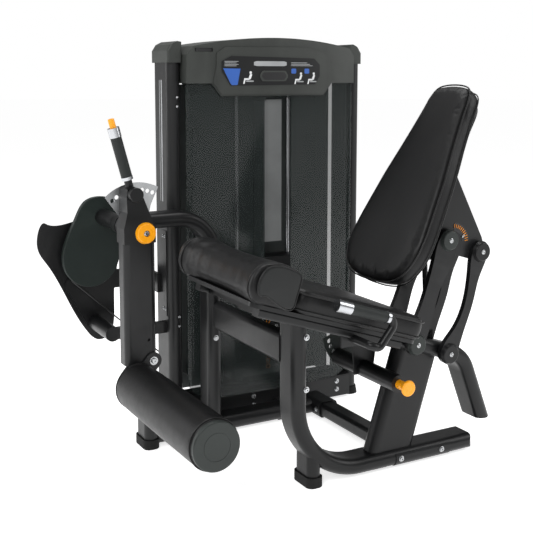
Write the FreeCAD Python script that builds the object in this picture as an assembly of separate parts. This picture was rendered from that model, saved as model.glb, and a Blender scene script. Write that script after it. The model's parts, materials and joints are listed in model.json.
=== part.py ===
import FreeCAD, Part
import math
import os

# Leg extension machine with a weight-stack tower.
# X runs along the tower's face (the user faces -X), Y runs from the user's side
# back to the tower, Z is up.  All lengths in millimetres.

os.makedirs("parts", exist_ok=True)
doc = FreeCAD.newDocument("LegExtension")
V = FreeCAD.Vector

# ---------------------------------------------------------------- driving sizes
sheet = doc.addObject("Spreadsheet::Sheet", "Sizes")
SIZES = [
    ("shift_x", -12.306), ("shift_y", -264.0),
    ("tube_wide", 120.0), ("tube_thick", 60.0), ("foot_gap", 8.0),
    ("main_y", -92.0), ("seat_y", -52.0), ("base_y", 535.0),
    ("tower_front", 650.0), ("tower_left", -235.0), ("tower_right", 640.0),
    ("post_depth", 160.0), ("post_height", 1520.0), ("cap_height", 86.0),
    ("header_low", 1382.0), ("header_top", 1612.0), ("header_depth", 270.0),
    ("stack_x", 250.0), ("stack_y", 800.0), ("plate_wide", 340.0), ("plate_deep", 110.0),
    ("plate_pitch", 26.0), ("fixed_count", 12.0), ("lifted_count", 6.0), ("stack_low", 150.0),
    ("rod_gap", 130.0), ("rod_radius", 10.0), ("fit", 0.08),
    ("pivot_x", -474.0), ("pivot_z", 880.0), ("shaft_radius", 22.0),
    ("cam_y", 880.0), ("cam_thick", 26.0),
    ("arm_near", 388.0), ("arm_deep", 80.0), ("arm_wide", 126.0), ("arm_x", -496.0),
    ("roller_x", -525.0), ("roller_z", 304.0), ("roller_radius", 89.0), ("roller_length", 690.0),
    ("yoke_x", -452.0), ("yoke_z", 388.0),
    ("seat_tilt", 18.0), ("seat_wide", 560.0), ("seat_thick", 75.0),
    ("back_lean", 29.0), ("pad_thick", 85.0),
    ("link_len_x", 144.0), ("link_len_z", 380.0), ("link_gap_x", 157.0), ("link_gap_z", -57.0),
    ("front_low_x", 365.0), ("front_low_z", 477.0),
    ("pulley_radius", 42.0), ("cable_radius", 3.0),
    ("grip_radius", 19.0), ("grip_length", 150.0),
    ("knob_radius", 29.0), ("knob_x", 235.0), ("knob_z", 367.0),
]
for row, (alias, value) in enumerate(SIZES, start=1):
    sheet.set("A%d" % row, alias)
    sheet.set("B%d" % row, "%g" % value)
    sheet.setAlias("B%d" % row, alias)
doc.recompute()


def size(alias):
    return float(sheet.get(alias))


SHIFT = V(size("shift_x"), size("shift_y"), 0)
MAIN_Y, SEAT_Y, BASE_Y = size("main_y"), size("seat_y"), size("base_y")
FRONT = size("tower_front")
PIVOT_X, PIVOT_Z = size("pivot_x"), size("pivot_z")
WIDE, THICK = size("tube_wide"), size("tube_thick")
FIT = size("fit")

pieces = {}
nodes = {}


# ---------------------------------------------------------------- shape helpers
def box(x0, x1, y0, y1, z0, z1, round_edges=0.0, along=None):
    shape = Part.makeBox(x1 - x0, y1 - y0, z1 - z0, V(x0, y0, z0))
    if round_edges > 0:
        shape = fillet_along(shape, round_edges, along)
    return shape


def fillet_along(shape, radius, along=None):
    edges = []
    for edge in shape.Edges:
        if along is None:
            edges.append(edge)
            continue
        if edge.Curve.TypeId != "Part::GeomLine":
            continue
        if abs(edge.tangentAt(edge.FirstParameter).dot(along)) > 0.999:
            edges.append(edge)
    return shape.makeFillet(radius, edges)


def rod(radius, start, end):
    axis = end - start
    return Part.makeCylinder(radius, axis.Length, start, axis)


def tube(radius, inner, start, end):
    return rod(radius, start, end).cut(rod(inner, start, end))


def y_rod(radius, x, z, y0, y1):
    return rod(radius, V(x, y0, z), V(x, y1, z))


def y_tube(radius, inner, x, z, y0, y1):
    return y_rod(radius, x, z, y0, y1).cut(y_rod(inner, x, z, y0, y1))


def polygon_xz(points, y0, y1):
    loop = [V(x, y0, z) for x, z in points]
    face = Part.Face(Part.makePolygon(loop + [loop[0]]))
    return face.extrude(V(0, y1 - y0, 0))


def smooth_xz(points, y0, y1):
    curve = Part.BSplineCurve()
    curve.interpolate([V(x, y0, z) for x, z in points], PeriodicFlag=True)
    return Part.Face(Part.Wire(curve.toShape())).extrude(V(0, y1 - y0, 0))


def slot_plate(x0, z0, x1, z1, radius, y0, y1):
    length = math.hypot(x1 - x0, z1 - z0)
    across = V(-(z1 - z0) / length * radius, 0, (x1 - x0) / length * radius)
    a, b = V(x0, y0, z0), V(x1, y0, z1)
    along = V((x1 - x0) / length * radius, 0, (z1 - z0) / length * radius)
    edges = [
        Part.makeLine(a + across, b + across),
        Part.Arc(b + across, b + along, b - across).toShape(),
        Part.makeLine(b - across, a - across),
        Part.Arc(a - across, a - along, a + across).toShape(),
    ]
    return Part.Face(Part.Wire(edges)).extrude(V(0, y1 - y0, 0))


def rounded_path(points, radii):
    edges = []
    last = points[0]
    for index in range(1, len(points) - 1):
        corner = points[index]
        back = (points[index - 1] - corner).normalize()
        ahead = (points[index + 1] - corner).normalize()
        half = math.acos(max(-1.0, min(1.0, back.dot(ahead)))) / 2
        reach = radii[index - 1] / math.tan(half)
        begin = corner + back * reach
        finish = corner + ahead * reach
        centre = corner + (back + ahead).normalize() * (radii[index - 1] / math.sin(half))
        middle = centre + (corner - centre).normalize() * radii[index - 1]
        if (begin - last).Length > 0.01:
            edges.append(Part.makeLine(last, begin))
        edges.append(Part.Arc(begin, middle, finish).toShape())
        last = finish
    edges.append(Part.makeLine(last, points[-1]))
    return Part.Wire(edges)


def oval_wire(centre, across, up, wide, thick, corner):
    """Rounded rectangle, `wide` along across and `thick` along up."""
    w, t, r = wide / 2.0, thick / 2.0, corner
    k = r * (1 - math.sqrt(0.5))

    def at(a, b):
        return centre + across * a + up * b

    edges = [
        Part.makeLine(at(-w + r, -t), at(w - r, -t)),
        Part.Arc(at(w - r, -t), at(w - k, -t + k), at(w, -t + r)).toShape(),
        Part.makeLine(at(w, -t + r), at(w, t - r)),
        Part.Arc(at(w, t - r), at(w - k, t - k), at(w - r, t)).toShape(),
        Part.makeLine(at(w - r, t), at(-w + r, t)),
        Part.Arc(at(-w + r, t), at(-w + k, t - k), at(-w, t - r)).toShape(),
        Part.makeLine(at(-w, t - r), at(-w, -t + r)),
        Part.Arc(at(-w, -t + r), at(-w + k, -t + k), at(-w + r, -t)).toShape(),
    ]
    return Part.Wire(edges)


def sweep(path, profile):
    return path.makePipeShell([profile], True, True)


def oval_tube(points, radii, wide=None, thick=None, corner=27.0):
    """Solid oval tube along a path in an XZ plane, its wide side across Y."""
    wide = WIDE if wide is None else wide
    thick = THICK if thick is None else thick
    path = rounded_path(points, radii)
    run = (points[1] - points[0]).normalize()
    up = V(0, 1, 0).cross(run)
    return sweep(path, oval_wire(points[0], V(0, 1, 0), up, wide, thick, corner))


def straight_oval(start, end, across, wide, thick, corner):
    run = end - start
    up = (run.normalize()).cross(across)
    profile = oval_wire(start, across, up, wide, thick, corner)
    return Part.Face(profile).extrude(end - start)


def round_pipe(points, radii, radius):
    path = rounded_path(points, radii)
    run = points[1] - points[0]
    circle = Part.Wire(Part.makeCircle(radius, points[0], run))
    return sweep(path, circle)


def hex_bolt(centre, axis, head=8.5, tall=6.0, washer=11.0):
    """Button head with a washer, standing proud of a face in direction axis."""
    base = rod(washer, centre, centre + axis * 1.6)
    cap = Part.makeCylinder(head, tall, centre + axis * 1.6, axis)
    top = [e for e in cap.Edges if e.Curve.TypeId == "Part::GeomCircle"
           and (e.Curve.Center - centre).dot(axis) > tall]
    cap = cap.makeFillet(2.0, top)
    socket = Part.makeCylinder(3.6, 3.5, centre + axis * (tall - 1.6), axis)
    return base.fuse(cap).cut(socket)


def joined(shapes):
    result = shapes[0]
    if len(shapes) > 1:
        result = shapes[0].multiFuse(shapes[1:])
    return result.removeSplitter()


def add(name, shape):
    """Keep a finished piece; GROUPS below says which sub-part it belongs to."""
    pieces[name] = shape


def rotated(shape, centre, degrees, axis=V(0, 1, 0)):
    turned = shape.copy()
    turned.rotate(centre, axis, degrees)
    return turned


# ================================================================ foot frame
J_X = -116.0
ARC = 266.0
FOOT_END = 668.0
tube_mid = size("foot_gap") + THICK / 2.0
main_slope = math.tan(math.radians(18.5))
MAIN_TOP_X, MAIN_TOP_Z = 290.0, 500.0          # a point on the seat tube's centre line


def main_mid(x):
    return MAIN_TOP_Z - main_slope * (x - MAIN_TOP_X)


half_slant = THICK / 2.0 / math.cos(math.radians(18.5))

seat_tube = oval_tube(
    [V(-300, MAIN_Y, main_mid(-300)), V(629.8, MAIN_Y, main_mid(629.8)), V(735, MAIN_Y, 118)],
    [130.0])
seat_tube = seat_tube.cut(box(600, 900, MAIN_Y - 100, MAIN_Y + 100, 0, 122))

j_frame = oval_tube(
    [V(J_X, MAIN_Y, 632), V(J_X, MAIN_Y, tube_mid), V(FOOT_END, MAIN_Y, tube_mid)], [ARC])
end_round = box(FOOT_END - 40, FOOT_END + 5, MAIN_Y - 80, MAIN_Y + 80, 0, 80)
end_keep = straight_oval(V(FOOT_END - 60, MAIN_Y, tube_mid), V(FOOT_END, MAIN_Y, tube_mid),
                         V(0, 1, 0), WIDE, THICK, 27)
end_keep = end_keep.common(
    fillet_along(box(FOOT_END - 60, FOOT_END, MAIN_Y - 60, MAIN_Y + 60, 0, 80), 14, V(0, 0, 1)))
j_frame = j_frame.cut(end_round).fuse(end_keep).removeSplitter()
j_frame = j_frame.cut(seat_tube)

rear_post = straight_oval(V(293, MAIN_Y, 40), V(432, MAIN_Y, 470), V(0, 1, 0), 74, 190, 30)
rear_post = rear_post.cut(box(0, 600, -400, 400, -60, 40)).cut(seat_tube).cut(j_frame)
rear_post = max(rear_post.Solids, key=lambda s: s.Volume)

near_leg = straight_oval(V(-50, MAIN_Y, 24), V(-50, MAIN_Y, 170), V(0, 1, 0), 112, 54, 26)
leg_bits = sorted(near_leg.cut(j_frame).Solids, key=lambda s: s.BoundBox.ZMin)
near_leg = leg_bits[0]

add("foot_frame_j", j_frame)
add("seat_tube", seat_tube)
add("rear_post", rear_post)
add("near_leg", near_leg)

base_x = straight_oval(V(-420, BASE_Y, tube_mid), V(346, BASE_Y, tube_mid),
                       V(0, 1, 0), 110, THICK, 27)
upright = oval_tube(
    [V(-440, BASE_Y, 905), V(-139, BASE_Y, 905), V(-139, BASE_Y, 40)], [150.0], wide=110)
upright = upright.cut(base_x)
upright = max(upright.Solids, key=lambda s: s.Volume)
left_leg = straight_oval(V(-425, BASE_Y - 12, 24), V(-425, BASE_Y - 12, 112),
                         V(0, 1, 0), 112, 54, 26)
left_leg = left_leg.cut(base_x)

beam = box(-150, -98, MAIN_Y + WIDE / 2 - 20, BASE_Y - 40, 446, 558, 18, V(0, 1, 0))
beam = beam.cut(j_frame).cut(upright)
beam = max(beam.Solids, key=lambda s: s.Volume)

base_y = box(334, 410, MAIN_Y + 30, BASE_Y + 30, 10, 68, 16, V(0, 1, 0)).cut(j_frame)
base_y = max(base_y.Solids, key=lambda s: s.Volume)
sleeve_y = box(327, 417, 432, BASE_Y + 42, 4, 74, 18, V(0, 1, 0))
sleeve_y = sleeve_y.cut(base_y)
base_x = base_x.cut(box(327, 420, 400, 700, 0, 100))

add("base_tube_x", base_x)
add("base_tube_y", base_y)
add("base_sleeve", sleeve_y)
add("side_beam", beam)

# collar plate under the foot, where the rear post is bolted through
sleeve_cut = straight_oval(V(300, MAIN_Y, tube_mid), V(560, MAIN_Y, tube_mid),
                           V(0, 1, 0), WIDE + 5, THICK + 4, 28)
foot_sleeve = sleeve_cut.cut(box(280, 580, -400, 400, 34.5, 200))
foot_sleeve = foot_sleeve.fuse(
    sleeve_cut.common(box(280, 580, MAIN_Y - 80, MAIN_Y - 30, 20, 56))).removeSplitter()
foot_sleeve = foot_sleeve.cut(j_frame)
foot_sleeve = max(foot_sleeve.Solids, key=lambda s: s.Volume)
add("foot_sleeve", foot_sleeve)


def foot_pad(x, y, wide_y, wide_x, top=26.0):
    low = straight_oval(V(x, y, 0), V(x, y, top), V(0, 1, 0), wide_y + 12, wide_x + 12,
                        wide_x / 2.0 - 1)
    hollow = straight_oval(V(x, y, top - 14), V(x, y, top + 1), V(0, 1, 0), wide_y, wide_x,
                           wide_x / 2.0 - 1)
    bottom = [e for e in low.Edges if abs(e.BoundBox.ZMax) < 0.01]
    return low.makeChamfer(2.0, bottom).cut(hollow)


near_foot = foot_pad(-50, MAIN_Y, 112, 54, 38).cut(near_leg)
left_foot = foot_pad(-425, BASE_Y - 12, 112, 54, 38).cut(left_leg)
near_foot = near_foot.cut(j_frame)
glides = []
for gx, gy in [(600, MAIN_Y), (250, MAIN_Y)]:
    glides.append(box(gx - 30, gx + 30, gy - 25, gy + 25, 0, size("foot_gap")))
for gx in (-100, 200):
    glides.append(box(gx - 30, gx + 30, BASE_Y - 25, BASE_Y + 25, 0, size("foot_gap")))

# ================================================================ pivot housing
housing = y_tube(46, size("shaft_radius") + FIT, PIVOT_X, PIVOT_Z, 482, 592)
web = box(PIVOT_X, -400, 496, 576, 868, 932, 10, V(1, 0, 0))
web = web.cut(y_rod(45, PIVOT_X, PIVOT_Z, 470, 600)).cut(upright)
web = max(web.Solids, key=lambda s: s.Volume)
housing = housing.fuse(web).cut(upright).removeSplitter()
housing = max(housing.Solids, key=lambda s: s.Volume)
upright = upright.cut(y_rod(46.0, PIVOT_X, PIVOT_Z, 400, 700))
upright = max(upright.Solids, key=lambda s: s.Volume)
add("curved_upright", upright)
add("left_leg", left_leg)
add("pivot_housing", housing)

# ================================================================ tower
LEFT, RIGHT = size("tower_left"), size("tower_right")
DEPTH = size("post_depth")
post_mid = FRONT + DEPTH / 2.0
POST_TOP = size("post_height")


def tower_post(x):
    return straight_oval(V(x, post_mid, 34), V(x, post_mid, POST_TOP), V(0, 1, 0), DEPTH, 60, 28)


posts = {"tower_post_left": tower_post(LEFT), "tower_post_right": tower_post(RIGHT)}
crossbeam = box(LEFT + 30, RIGHT - 30, FRONT - 28, FRONT + 40, 8, 108, 8, V(1, 0, 0))
base_rear = box(LEFT + 30, RIGHT - 30, FRONT + 100, FRONT + 158, 40, 100, 8, V(1, 0, 0))
rails = []
for rx in (stack_rail for stack_rail in (size("stack_x") - 130, size("stack_x") + 130)):
    rails.append(box(rx - 20, rx + 20, FRONT + 40, FRONT + 100, 50, 90))
base_frame = joined([crossbeam, base_rear] + rails)
bottom_cut = box(size("stack_x") - 70, size("stack_x") + 70, 858, 902, 0, 300)
base_frame = base_frame.cut(bottom_cut)
top_beam = box(LEFT + 30, RIGHT - 30, FRONT + 62, FRONT + 214, 1472, 1518, 8, V(1, 0, 0))
add("tower_post_left", posts["tower_post_left"])
add("tower_post_right", posts["tower_post_right"])
for name, x in (("tower_cap_left", LEFT), ("tower_cap_right", RIGHT)):
    inner = 1 if x < 200 else -1
    profile = [(x - 34 * inner, POST_TOP), (x - 34 * inner, POST_TOP + 48),
               (x - 18 * inner, POST_TOP + 72), (x + 12 * inner, POST_TOP + size("cap_height")),
               (x + 32 * inner, POST_TOP + size("cap_height") - 3), (x + 32 * inner, POST_TOP)]
    cap = polygon_xz(profile, FRONT - 4, FRONT + DEPTH + 4)
    upright_edges = [e for e in cap.Edges if e.BoundBox.ZLength > 20 and e.BoundBox.YLength < 1]
    cap = cap.makeFillet(10, upright_edges)
    add(name, cap)

# header shell: arched crown, stepped lower edge, front bowed like the shroud below it
X0, X1 = LEFT + 34.5, RIGHT - 34.5
HD = size("header_depth")
LOW, HIGH = size("header_low"), size("header_top")
header_back = FRONT - 22 + HD


def bowed(y_side, y_middle, y_back, z0, z1, xa=X0, xb=X1):
    """Block whose front is an arc in plan and whose back is flat."""
    front = Part.Arc(V(xa, y_side, z0), V((xa + xb) / 2.0, y_middle, z0), V(xb, y_side, z0))
    rest = Part.makePolygon([V(xb, y_side, z0), V(xb, y_back, z0), V(xa, y_back, z0),
                             V(xa, y_side, z0)])
    return Part.Face(Part.Wire([front.toShape()] + rest.Edges)).extrude(V(0, 0, z1 - z0))


HY = FRONT - 90
crown = Part.Arc(V(X0 + 26, HY, HIGH - 26), V((X0 + X1) / 2.0, HY, HIGH + 12),
                 V(X1 - 26, HY, HIGH - 26)).toShape()
outline = [V(X1 - 26, HY, HIGH - 26), V(X1, HY, HIGH - 60),
           V(X1, HY, LOW + 54), V(X1 - 127, HY, LOW + 54),
           V(X1 - 171, HY, LOW + 2), V(X0 + 144, HY, LOW + 2),
           V(X0 + 104, HY, LOW + 54), V(X0, HY, LOW + 54),
           V(X0, HY, HIGH - 60), V(X0 + 26, HY, HIGH - 26)]
header_wire = Part.Wire([crown] + [Part.makeLine(a, b) for a, b in zip(outline, outline[1:])])
header = Part.Face(header_wire).extrude(V(0, 500, 0))
header = header.common(bowed(FRONT - 44, FRONT - 74, header_back, 1300, 1700))
hollow = bowed(FRONT - 36, FRONT - 66, header_back - 6, 1300, HIGH - 66, X0 + 6, X1 - 6)
header = header.cut(hollow)
vent = box(X0 + 34, X0 + 110, FRONT - 90, FRONT + 30, HIGH - 48, HIGH - 34)
header = header.cut(vent)
raised = polygon_xz([(X0 + 124, HIGH - 52), (X0 + 162, HIGH - 28), (X1 - 260, HIGH - 26),
                     (X1 - 180, HIGH - 46), (X1 - 128, HIGH - 82), (X1 - 128, LOW + 62),
                     (X1 - 174, LOW + 8), (X0 + 146, LOW + 8), (X0 + 108, LOW + 58),
                     (X0 + 122, HIGH - 112)], HY, FRONT)
skin = bowed(FRONT - 48, FRONT - 78, FRONT, 1300, 1700).cut(
    bowed(FRONT - 44, FRONT - 74, FRONT + 1, 1299, 1701))
header = header.fuse(raised.common(skin)).removeSplitter()
add("tower_header", header)
add("tower_top_beam", top_beam)

fascia_points = [(X0 + 145, HIGH - 86), (X0 + 185, HIGH - 65), (X1 - 225, HIGH - 72),
                 (X1 - 196, HIGH - 98), (X1 - 196, HIGH - 146), (X1 - 220, HIGH - 181),
                 (X0 + 184, HIGH - 185), (X0 + 145, HIGH - 128)]
placard_skin = bowed(FRONT - 51, FRONT - 81, FRONT, 1300, 1700).cut(
    bowed(FRONT - 48, FRONT - 78, FRONT + 1, 1299, 1701))
placard = polygon_xz(fascia_points, HY, FRONT).common(placard_skin)
add("placard_panel", placard)

# front shroud: smoked panel bowed toward the user, with a slot over the stack
shroud_low, shroud_high = 112.0, LOW + 60
slot_x = 210.0
shroud = bowed(FRONT - 32, FRONT - 62, FRONT, shroud_low, shroud_high, X0 + 20, X1 - 20)
shroud = shroud.cut(bowed(FRONT - 27, FRONT - 57, FRONT + 1, 0, 1700, X0 + 20, X1 - 20))
edges_lr = []
for ex in (X0 + 15, X1 - 15):
    edges_lr.append(rod(14, V(ex, FRONT - 24, shroud_low), V(ex, FRONT - 24, LOW + 50)))
shroud = joined([shroud] + edges_lr)
slot = box(slot_x - 64, slot_x + 64, FRONT - 90, FRONT, 330, 1376, 24, V(0, 1, 0))
shroud = shroud.cut(slot)
lower_left = box(X0 - 5, X0 + 100, FRONT - 90, FRONT + 5, 0, 212)
lower_left = lower_left.cut(y_rod(100, X0 + 100, 212, FRONT - 90, FRONT + 5))
lower_right = box(X1 - 100, X1 + 5, FRONT - 90, FRONT + 5, 0, 212)
lower_right = lower_right.cut(y_rod(100, X1 - 100, 212, FRONT - 90, FRONT + 5))
shroud = shroud.cut(lower_left).cut(lower_right).cut(crossbeam)
shroud = max(shroud.Solids, key=lambda s: s.Volume)
add("front_shroud", shroud)
rear_cover = box(X0, X1, FRONT + 256, FRONT + 262, 70, 1430)
rear_tabs = []
for tx in (X0, X1 - 12):
    rear_tabs.append(box(tx, tx + 12, FRONT + 162, FRONT + 256, 70, 1430))
rear_cover = joined([rear_cover] + rear_tabs)
rear_cover = rear_cover.cut(box(X0 - 5, X0 + 20, 850, 906, 90, 400))
add("rear_shroud", rear_cover)
panel_y = FRONT - 40
inner_panel = joined([
    box(slot_x - 58, slot_x + 30, panel_y, panel_y + 3, 760, 1366),
    box(slot_x - 58, slot_x + 30, panel_y, FRONT + 62, 1362, 1368),
    box(slot_x - 58, slot_x + 30, FRONT + 58, FRONT + 62, 1362, 1472)])
add("inner_panel", inner_panel)

# ---- weight stack
SX, SY = size("stack_x"), size("stack_y")
PW, PD = size("plate_wide") / 2.0, size("plate_deep") / 2.0
PITCH = size("plate_pitch")
GAP = size("rod_gap")
RODR = size("rod_radius")
fixed_low = size("stack_low")
fixed_top = fixed_low + PITCH * size("fixed_count")
lift_low = fixed_top + 1.0
lift_top = lift_low + PITCH * size("lifted_count")


def plate_block(low, count, bore):
    block = box(SX - PW, SX + PW, SY - PD, SY + PD, low, low + PITCH * count)
    for index in range(1, int(count)):
        level = low + PITCH * index
        groove = box(SX - PW - 1, SX + PW + 1, SY - PD - 1, SY + PD + 1, level - 1.2, level + 1.2)
        groove = groove.cut(box(SX - PW + 3, SX + PW - 3, SY - PD + 3, SY + PD - 3,
                                level - 3, level + 3))
        block = block.cut(groove)
    for side in (-1, 1):
        block = block.cut(rod(RODR + FIT, V(SX + side * GAP, SY, low - 5),
                              V(SX + side * GAP, SY, low + PITCH * count + 5)))
    return block.cut(rod(bore, V(SX, SY, low - 5), V(SX, SY, low + PITCH * count + 5)))


def pin_bores(block, low, count, reach):
    for index in range(int(count)):
        level = low + PITCH * (index + 0.5)
        block = block.cut(rod(5.6, V(SX, SY - PD - 5, level), V(SX, reach, level)))
    return block


fixed = pin_bores(plate_block(fixed_low, size("fixed_count"), 13.5),
                  fixed_low, size("fixed_count"), SY)
lifted = pin_bores(plate_block(lift_low, size("lifted_count"), 12.0 + FIT),
                   lift_low, size("lifted_count"), SY)
add("stack_plates_fixed", fixed)
add("stack_plates_lifted", lifted)
head = box(SX - 150, SX + 150, SY - 48, SY + 48, lift_top + 0.0, lift_top + 42, 6, V(0, 0, 1))
for side in (-1, 1):
    head = head.cut(rod(RODR + FIT, V(SX + side * GAP, SY, lift_top - 5),
                        V(SX + side * GAP, SY, lift_top + 60)))
head = head.cut(rod(12.0, V(SX, SY, lift_top - 5), V(SX, SY, lift_top + 30)))
add("stack_head_plate", head)
PIN_LEVEL = lift_low + PITCH * 0.5
stem = rod(12.0, V(SX, SY, fixed_low + 12), V(SX, SY, lift_top + 30))
for index in range(int(size("fixed_count") + size("lifted_count"))):
    level = fixed_low + PITCH * (index + 0.5) + (1.0 if index >= size("fixed_count") else 0.0)
    if level - 6 > fixed_low + 12:
        stem = stem.cut(rod(5.2, V(SX, SY - 20, level), V(SX, SY + 20, level)))
add("selector_stem", stem)
pin = rod(4.6, V(SX, SY - PD - 42, PIN_LEVEL), V(SX, SY + 9, PIN_LEVEL))
pin_head = rod(13, V(SX, SY - PD - 46, PIN_LEVEL), V(SX, SY - PD - 8, PIN_LEVEL))
pin_head = pin_head.makeFillet(4, [e for e in pin_head.Edges
                                   if e.BoundBox.YLength < 0.1])
add("selector_pin", pin.fuse(pin_head).removeSplitter())
rods = []
cushions = []
for side in (-1, 1):
    rx = SX + side * GAP
    rods.append(rod(RODR, V(rx, SY, 100), V(rx, SY, 1472)))
    ring = tube(24, RODR, V(rx, SY, 100.0), V(rx, SY, fixed_low))
    cushions.append(ring)
add("guide_rods", Part.makeCompound(rods))
rest_bar = box(SX - GAP - 30, SX + GAP + 30, SY - 26, SY + 26, 91, 100)
rest_bar = rest_bar.fuse(box(SX - GAP - 20, SX - GAP + 20, FRONT + 60, FRONT + 160, 90, 100))
rest_bar = rest_bar.fuse(box(SX + GAP - 20, SX + GAP + 20, FRONT + 60, FRONT + 160, 90, 100))
base_frame = base_frame.cut(rest_bar)
add("tower_base", base_frame)
add("stack_rest", rest_bar.removeSplitter())
add("stack_cushions", Part.makeCompound(cushions))

# ---- pulleys and drive cable
PR, CR = size("pulley_radius"), size("cable_radius")
CY = size("cam_y")
P1, P2 = (-47.0, 155.0), (SX - PR, 155.0)
P3_Y, P3_Z = SY + 40.0, 1424.0


def pulley(axis, centre, radius, half, bore):
    wheel = rod(radius + 4, centre - axis * half, centre + axis * half)
    ring = Part.makeTorus(radius + 1.8, CR + 2.4, centre, axis)
    wheel = wheel.cut(ring)
    return wheel.cut(rod(bore, centre - axis * (half + 2), centre + axis * (half + 2)))


Y_AXIS, X_AXIS = V(0, 1, 0), V(1, 0, 0)
add("lower_pulley_left", pulley(Y_AXIS, V(P1[0], CY, P1[1]), PR - CR, 9, 8 + FIT))
add("lower_pulley_right", pulley(Y_AXIS, V(P2[0], CY, P2[1]), PR - CR, 9, 8 + FIT))
add("top_pulley", pulley(X_AXIS, V(SX, P3_Y, P3_Z), P3_Y - SY - CR, 9, 8 + FIT))
carrier = box(P1[0] - 22, P2[0] + 22, CY + 12, CY + 18, 108, 178)
lower_axles = joined([carrier,
                      y_rod(8, P1[0], P1[1], CY - 12, CY + 12),
                      y_rod(8, P2[0], P2[1], CY - 12, CY + 12),
                      box(28, 88, FRONT + 158, CY + 18, 60, 108),
                      box(28, 88, CY + 12, CY + 18, 60, 120)])
add("lower_pulley_bracket", lower_axles)
top_axle = rod(8, V(SX - 24, P3_Y, P3_Z), V(SX + 24, P3_Y, P3_Z))
cheeks = []
for side in (-1, 1):
    cx = SX + side * 15
    cheeks.append(box(min(cx, cx + side * 5), max(cx, cx + side * 5), P3_Y - 20, P3_Y + 20,
                      P3_Z - 14, 1472))
add("top_pulley_bracket", joined([top_axle] + cheeks))

run_dir = V(0.729, 0, -0.685).normalize()
run_nrm = V(0.685, 0, 0.729).normalize()
p1_touch = V(P1[0], CY, P1[1]) - run_nrm * PR
cam_attach = V(-608, CY, 620)
# straight run from the cam's rim to the first pulley, offset so that it is tangent
reach = (p1_touch - cam_attach)
cam_attach = p1_touch - run_dir * (reach.Length - 42)
add("drive_cable_run", rod(CR, cam_attach, p1_touch))
floor_z = P1[1] - PR


def arc_points(centre, radius, a0, a1, make):
    mid = (a0 + a1) / 2.0
    return Part.Arc(make(centre, radius, a0), make(centre, radius, mid),
                    make(centre, radius, a1)).toShape()


def in_xz(centre, radius, degrees):
    a = math.radians(degrees)
    return V(centre[0] + radius * math.cos(a), CY, centre[1] + radius * math.sin(a))


def in_yz(centre, radius, degrees):
    a = math.radians(degrees)
    return V(SX, centre[0] + radius * math.cos(a), centre[1] + radius * math.sin(a))


touch_angle = math.degrees(math.atan2(-0.729, -0.685)) + 360.0
cable_edges = [
    arc_points(P1, PR, touch_angle, 270.0, in_xz),
    Part.makeLine(V(P1[0], CY, floor_z), V(P2[0], CY, floor_z)),
    arc_points(P2, PR, 270.0, 360.0, in_xz),
    Part.makeLine(V(SX, CY, P2[1]), V(SX, CY, P3_Z)),
    arc_points((P3_Y, P3_Z), CY - P3_Y, 0.0, 180.0, in_yz),
]
start = in_xz(P1, PR, touch_angle)
ring = Part.Wire(Part.makeCircle(CR, start, run_dir))
cable = Part.Wire(cable_edges).makePipeShell([ring], True, True)
add("drive_cable_loop", cable)
drop = rod(CR, V(SX, SY, lift_top + 42), V(SX, SY, P3_Z))
add("drive_cable_drop", drop)

# tower details
add("tower_ties", Part.makeCompound([
    box(-139 - 30, -139 + 30, BASE_Y + 55, FRONT - 28, 20, 60),
    box(240 - 30, 240 + 30, BASE_Y + 55, FRONT - 28, 20, 60)]))
feet = []
for x in (LEFT, RIGHT):
    for y in (FRONT + 30, FRONT + DEPTH - 30):
        feet.append(Part.makeCone(42, 36, 34, V(x, y, 0)))
add("tower_feet", Part.makeCompound([feet[0].fuse(feet[1]).removeSplitter(),
                                     feet[2].fuse(feet[3]).removeSplitter()]))
add("rubber_feet", Part.makeCompound([near_foot, left_foot]))
add("frame_glides", Part.makeCompound(glides))
cover = box(LEFT - 33, LEFT - 30, FRONT + 34, FRONT + 74, 470, 830)
cover = cover.makeFillet(1.0, cover.Edges)
add("post_slot_cover", cover)

# ================================================================ guard plates by the cam
guard_points = [(-700, 860), (-560, 866), (-430, 866), (-408, 840), (-408, 560), (-412, 420),
                (-440, 352), (-485, 342), (-530, 380), (-610, 520), (-700, 690), (-738, 790)]
guard_y = CY + 46
guard = smooth_xz(guard_points, guard_y, guard_y + 6)
guard = guard.cut(y_rod(size("shaft_radius") + 4, PIVOT_X, PIVOT_Z, guard_y - 1, guard_y + 7))
stand_x, stand_z = -498.0, 420.0
guard = guard.cut(y_rod(12, stand_x, stand_z, guard_y - 1, guard_y + 7))
arms = [box(-412, LEFT - 30, guard_y, guard_y + 6, 560, 640),
        box(LEFT - 46, LEFT - 30, FRONT + 100, guard_y + 6, 560, 640)]
guard = joined([guard] + arms)
add("cam_guard", guard)
link_plate = slot_plate(-592, 592, stand_x, stand_z, 34, guard_y - 8, guard_y)
link_plate = link_plate.cut(y_rod(12, stand_x, stand_z, guard_y - 9, guard_y + 1))
add("guard_link", link_plate)
standoff = joined([y_rod(31, stand_x, stand_z, 700, guard_y - 8),
                   y_rod(12, stand_x, stand_z, guard_y - 8, guard_y + 10)])
stop_arm = box(stand_x - 20, LEFT - 30, 700, 724, stand_z - 24, stand_z + 24)
add("guard_standoff", joined([standoff, stop_arm]))

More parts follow.
